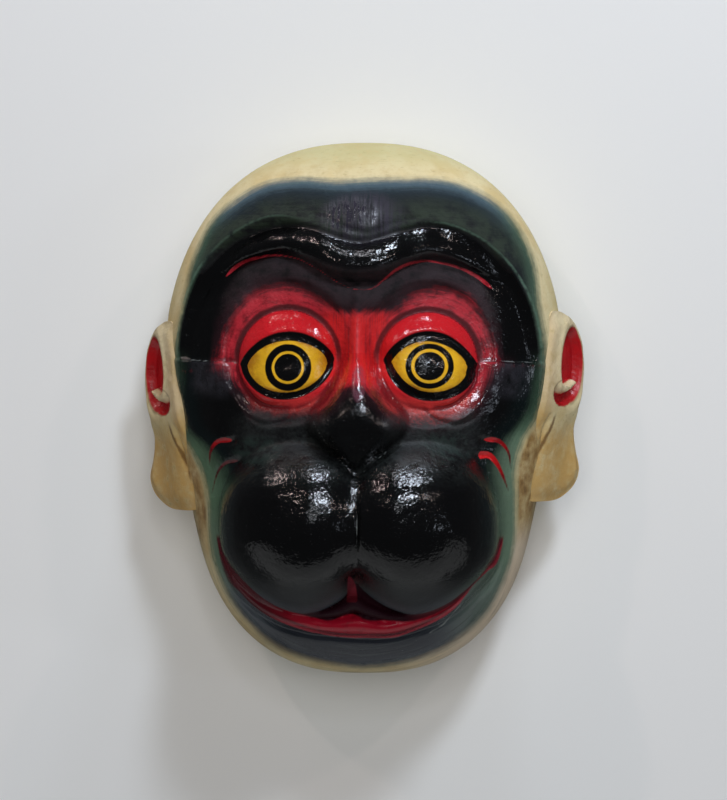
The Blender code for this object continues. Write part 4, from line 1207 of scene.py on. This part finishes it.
def lipCoat(at, colour):
    # lips, the notch between the muzzle's balls, and the cuts in the cheeks
    x, y, mottle = at.x, at.y, at.mottle
    lipIn, middle = at.lipIn.plus(at.wobble, 0.35), at.lipMiddleIn.plus(at.wobble, 0.35)
    onBall = at.onBall.plus(x.span(56, 66), -3)
    where = onBall.span(0.5, -0.5) * at.side.span(91, 89) * y.span(-78, -82) * lipIn.span(-0.5, 0.7)
    ends = x.span(-26, -64) | x.span(40, 80) * 0.7
    lower = at.bench.colour(ends, "lipRed", "lipDark").coat(mottle.span(0.5, 0.75) * 0.7, "lipDark")
    streaked = lipIn.plus(at.sweep, 1.5)
    lower = lower.coat(streaked.span(5, 3.4) * streaked.span(1.6, 3) * 0.7, "lipDark")
    lower = lower.coat(lipIn.span(2.2, 1) * (1 - ends) * 0.8, "lipEdge")
    # the upper lip tucked under the balls: its dark red, darkened to plum towards the middle as painted shade
    upper = at.bench.colour(at.side.span(26, 44), "lipPlum", "lipDark")
    colour = colour.coat(where, lower.coat(middle.span(-0.5, 0.9), upper))
    notch = at.bench.colour(y.span(-110, -118), "notchRed", "lipDark")
    cut = at.bench.colour(at.cutBright.plus(mottle - 0.5, 0.9).span(0, 1), "cutDark", "cutRed")
    colour = colour.coat(at.notchIn.span(-0.3, 0.6), notch)
    return colour.coat(at.cutIn.plus(at.wobble, 0.25).span(-0.5, 0.4), cut)


def satinShare(at):
    # where the lacquer is rubbed or thin, and shows no bright lights: outside the crest, its valley, the
    # lower brow band and the hollows round the eyes and over the muzzle
    y, side, browIn, onBall = at.y, at.side, at.browIn, at.onBall
    mound = patch(at, -4, 117, 22, 15) * at.upright.plus(at.mottle, 0.8).span(0.1, 0.6)
    above, offMound, offLids = y.span(10, 34), 1 - mound, 1 - at.lidIn.span(-0.5, 1)
    ring, valley = [field * above * offMound for field in (at.crestIn.span(4, -1), browIn.span(1, -3))]
    band = browIn.span(14, 20) * y.span(28, 40) * offLids * side.plus(at.wobble, 8).span(92, 66)
    band = band * (1 - at.redIn.span(2, 8) * 0.55)
    edge = y.plus(at.wobble, 7)
    hollow = edge.span(4, -8) * edge.span(-42, -22) * offLids * side.span(12, 24) * side.span(86, 62) * 0.65
    under = y.span(-98, -114) * onBall.span(0, 1) * 0.5
    dark = at.lipMiddleIn.span(-0.5, 0.9) * onBall.span(0.5, -0.5) * y.span(-100, -110) * 0.6
    return lidCrease(at) | (under | dark) | ring | valley | band | hollow


def paintedLacquer():
    material, bench = startMaterial("paintedLacquer", facePaint)
    at = faceMarks(bench)
    skinned = bench.group(groups["skin"], Where=at.place, Strength=1)
    colour, pores, creamShare, chin = creamCoat(at)
    colour, line = redCoat(at, crestCoat(at, colour, chin))
    colour = lipCoat(at, eyeCoat(at, muzzleCoat(at, colour)))
    # painted highlights: thin pale lines along edges and creases, then dust
    worn = at.wornIn.plus(at.wobble, 0.3).span(-0.2, 0.35) * at.mottle.span(0.34, 0.6)
    colour = colour.coat(worn * 0.55, "worn").coat(skinned["Dust"] * 0.08, "dust")
    rough = creamShare.scaled(lacquer["cream"], lacquer["rough"]).plus(satinShare(at), lacquer["satin"])
    rough = rough.plus(at.mottle, lacquer["mottle"]).plus(chin, lacquer["chin"])
    height = skinned["Height"] * (1 - (creamShare | chin) * lacquer["calmed"])
    height = height.plus(pores, creamShare).plus(at.sweep, lacquer["strokeHeight"])
    height = height.plus(line, lacquer["lineHeight"])
    bench.finish(colour, rough.plus(skinned["Dust"], lacquer["dust"]), height)
    return material


# ears: cream turned amber, red in the bowl, a painted highlight over the upper ear and painted shade in brown
# along its creases

earPaint = shades(rim=(232, 214, 178), amber=(192, 150, 80), brown=(98, 66, 32), red=(205, 26, 32),
                  deepRed=(140, 16, 24))
earGloss = {"rough": 0.24, "mottle": 0.1}


def earLacquer():
    material, bench = startMaterial("earLacquer", earPaint)
    place, reach, height = bench.where(), bench.read("earReach"), bench.read("earHeight")
    wobble, mottle = bench.noise(place, 4, 3, 0.6).scaled(2, -1), bench.noise(place, 7, 4, 0.6)
    skinned = bench.group(groups["skin"], Where=place, Strength=1)
    base = bench.group(groups["cream"], Where=place, Ageing=0.8, Ridge=0, Green=0.1)
    aged = reach.plus(wobble, 3).span(9, -4) | height.plus(wobble, 4).span(-8, -30)
    colour = base["Colour"].coat(aged * mottle.span(0.15, 0.6) * 0.8, "amber")
    # paler over the upper ear: partly its paler cream, partly a painted highlight on the rim
    colour = colour.coat(height.span(-14, 4) * mottle.span(0.2, 0.6) * 0.6, "rim")
    # painted shade in brown along the lobe's crease and round the bowl's edge
    crease = abs(reach - height.scaled(0.24, 12).plus(wobble)).span(2, 0.3)
    crease = crease * height.span(-8, -14) * height.span(-50, -38)
    inner, front = bench.read("bowlIn") | bench.read("tailIn"), bench.read("earFace").span(-9.5, -8.5)
    edge = abs(inner).span(1.3, 0.2) * front
    colour = colour.coat(crease * 0.8, "brown").coat(edge * 0.45, "brown")
    red = inner.plus(wobble, 0.3).span(-0.2, 0.6) * bench.read("hookIn").span(0.5, 0.2) * front
    colour = colour.coat(red, bench.colour(mottle, "deepRed", "red"))
    rough = mottle.scaled(earGloss["mottle"], earGloss["rough"])
    bench.finish(colour, rough, skinned["Height"].plus(base["Height"]))
    return material


# bare wood inside, dry and darkened by handling

wood = shades(pale=(178, 138, 92), dark=(120, 82, 48), line=(84, 54, 32), handled=(96, 66, 42))
woodGrain = {"rough": 0.62, "roughFibres": 0.15, "fibreHeight": 0.12, "chipHeight": 0.5}


def gougedWood():
    material, bench = startMaterial("gougedWood", wood)
    place = bench.where()
    bands = bench.noise(place.stretched(7, 120, 14), 1, 3, 0.6, 0.6)
    fibres = bench.noise(place.stretched(0.7, 26, 0.9), 1, 3, 0.7)
    chips = bench.noise(place.stretched(5, 14, 8), 1)
    colour = bench.colour(bands.span(0.36, 0.64), "pale", "dark").coat(fibres.span(0.55, 0.75) * 0.6, "line")
    colour = colour.coat(bench.noise(place, 40, 3) * 0.45, "handled")
    height = (fibres * woodGrain["fibreHeight"]).plus(chips, woodGrain["chipHeight"])
    bench.finish(colour, fibres.scaled(woodGrain["roughFibres"], woodGrain["rough"]), height)
    return material


for index, material in enumerate((paintedLacquer(), earLacquer(), gougedWood())):
    mask.data.materials[index] = material
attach(mask, "root")
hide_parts("carved_mask")
print("painted")

# studio: pale floor, one large cool window-like light, small warm ones, a dim card at the chin's side

studio = {
    "floorSize": 8, "floorDrop": 0.0002, "floorRough": 0.9, "world": 0.05, "worldColour": (0.92, 0.96, 1),
    "aim": (0, 0, 0.12), "lampsUp": (0.02, 0.1, 1),
    # name, way from the mask, distance, size, watts, colour, and whether it shows in the gloss
    "lights": (
        ("windowLight", (0.27, 0.68, 0.68), 1.9, (0.25, 0.30), 15, (0.80, 0.88, 1), True),
        ("windowLow", (0.18, 0.98, 0.10), 1.9, (0.22, 0.15), 10, (0.78, 0.87, 1), True),
        ("windowFar", (-0.09, 0.99, 0.05), 1.9, (0.10, 0.14), 1.5, (0.94, 0.94, 1), True),
        ("warmLightOver", (-0.43, 0.64, 0.64), 2, (0.06, 0.06), 2.2, (1, 0.80, 0.74), True),
        ("warmLightLeft", (-0.49, 0.86, 0.02), 2, (0.12, 0.08), 3.4, (1, 0.80, 0.76), True),
        ("warmLightRight", (0.58, 0.58, 0.57), 2, (0.07, 0.09), 2, (1, 0.82, 0.76), True),
        ("overCamera", (0.09, 0.43, 0.90), 2.2, (0.17, 0.17), 2.2, (0.90, 0.94, 1), True),
        ("coolStrip", (0.80, 0.02, 0.58), 2, (0.16, 0.22), 1.2, (0.78, 0.86, 1), True),
        ("chinCard", (0, -1, 0.02), 1.5, (7, 1.40), 10.6, (0.97, 0.99, 1), True),
        ("overheadCard", (0, 0.10, 1), 2.6, (1.6, 1.6), 24, (1, 0.99, 0.97), False),
    ),
}


def makeFloor():
    half = studio["floorSize"] / 2
    mesh = bpy.data.meshes.new("paleFloor")
    corners = [(-half, -half, 0), (half, -half, 0), (half, half, 0), (-half, half, 0)]
    mesh.from_pydata(corners, [], [(0, 1, 2, 3)])
    material, bench = startMaterial("palePaper", shades(pale=(240, 240, 238), grain=(226, 226, 224)))
    bench.finish(bench.colour(bench.noise(bench.where(), 3, 3) * 0.06, "pale", "grain"),
                 studio["floorRough"])
    mesh.materials.append(material)
    floor = addToScene(bpy.data.objects.new("paleFloor", mesh))
    floor.location.z = -studio["floorDrop"]
    floor.visible_glossy = False


def makeLights():
    target = Vector(studio["aim"])
    for name, way, away, size, power, colour, glossy in studio["lights"]:
        light = bpy.data.lights.new(name, "AREA")
        light.shape = "RECTANGLE"
        light.size, light.size_y = size
        light.energy, light.color = power, colour
        lamp = addToScene(bpy.data.objects.new(name, light))
        lamp.matrix_world = aimAlong(target + Vector(way).normalized() * away, target, studio["lampsUp"])
        lamp.visible_camera, lamp.visible_glossy = False, glossy
    world = bpy.data.worlds.new("studioAir")
    world.use_nodes = True
    background = world.node_tree.nodes["Background"]
    background.inputs["Color"].default_value = (*studio["worldColour"], 1)
    background.inputs["Strength"].default_value = studio["world"]
    bpy.context.scene.world = world
    bpy.context.scene.view_settings.view_transform = "Standard"


makeFloor()
makeLights()
print("studio set")
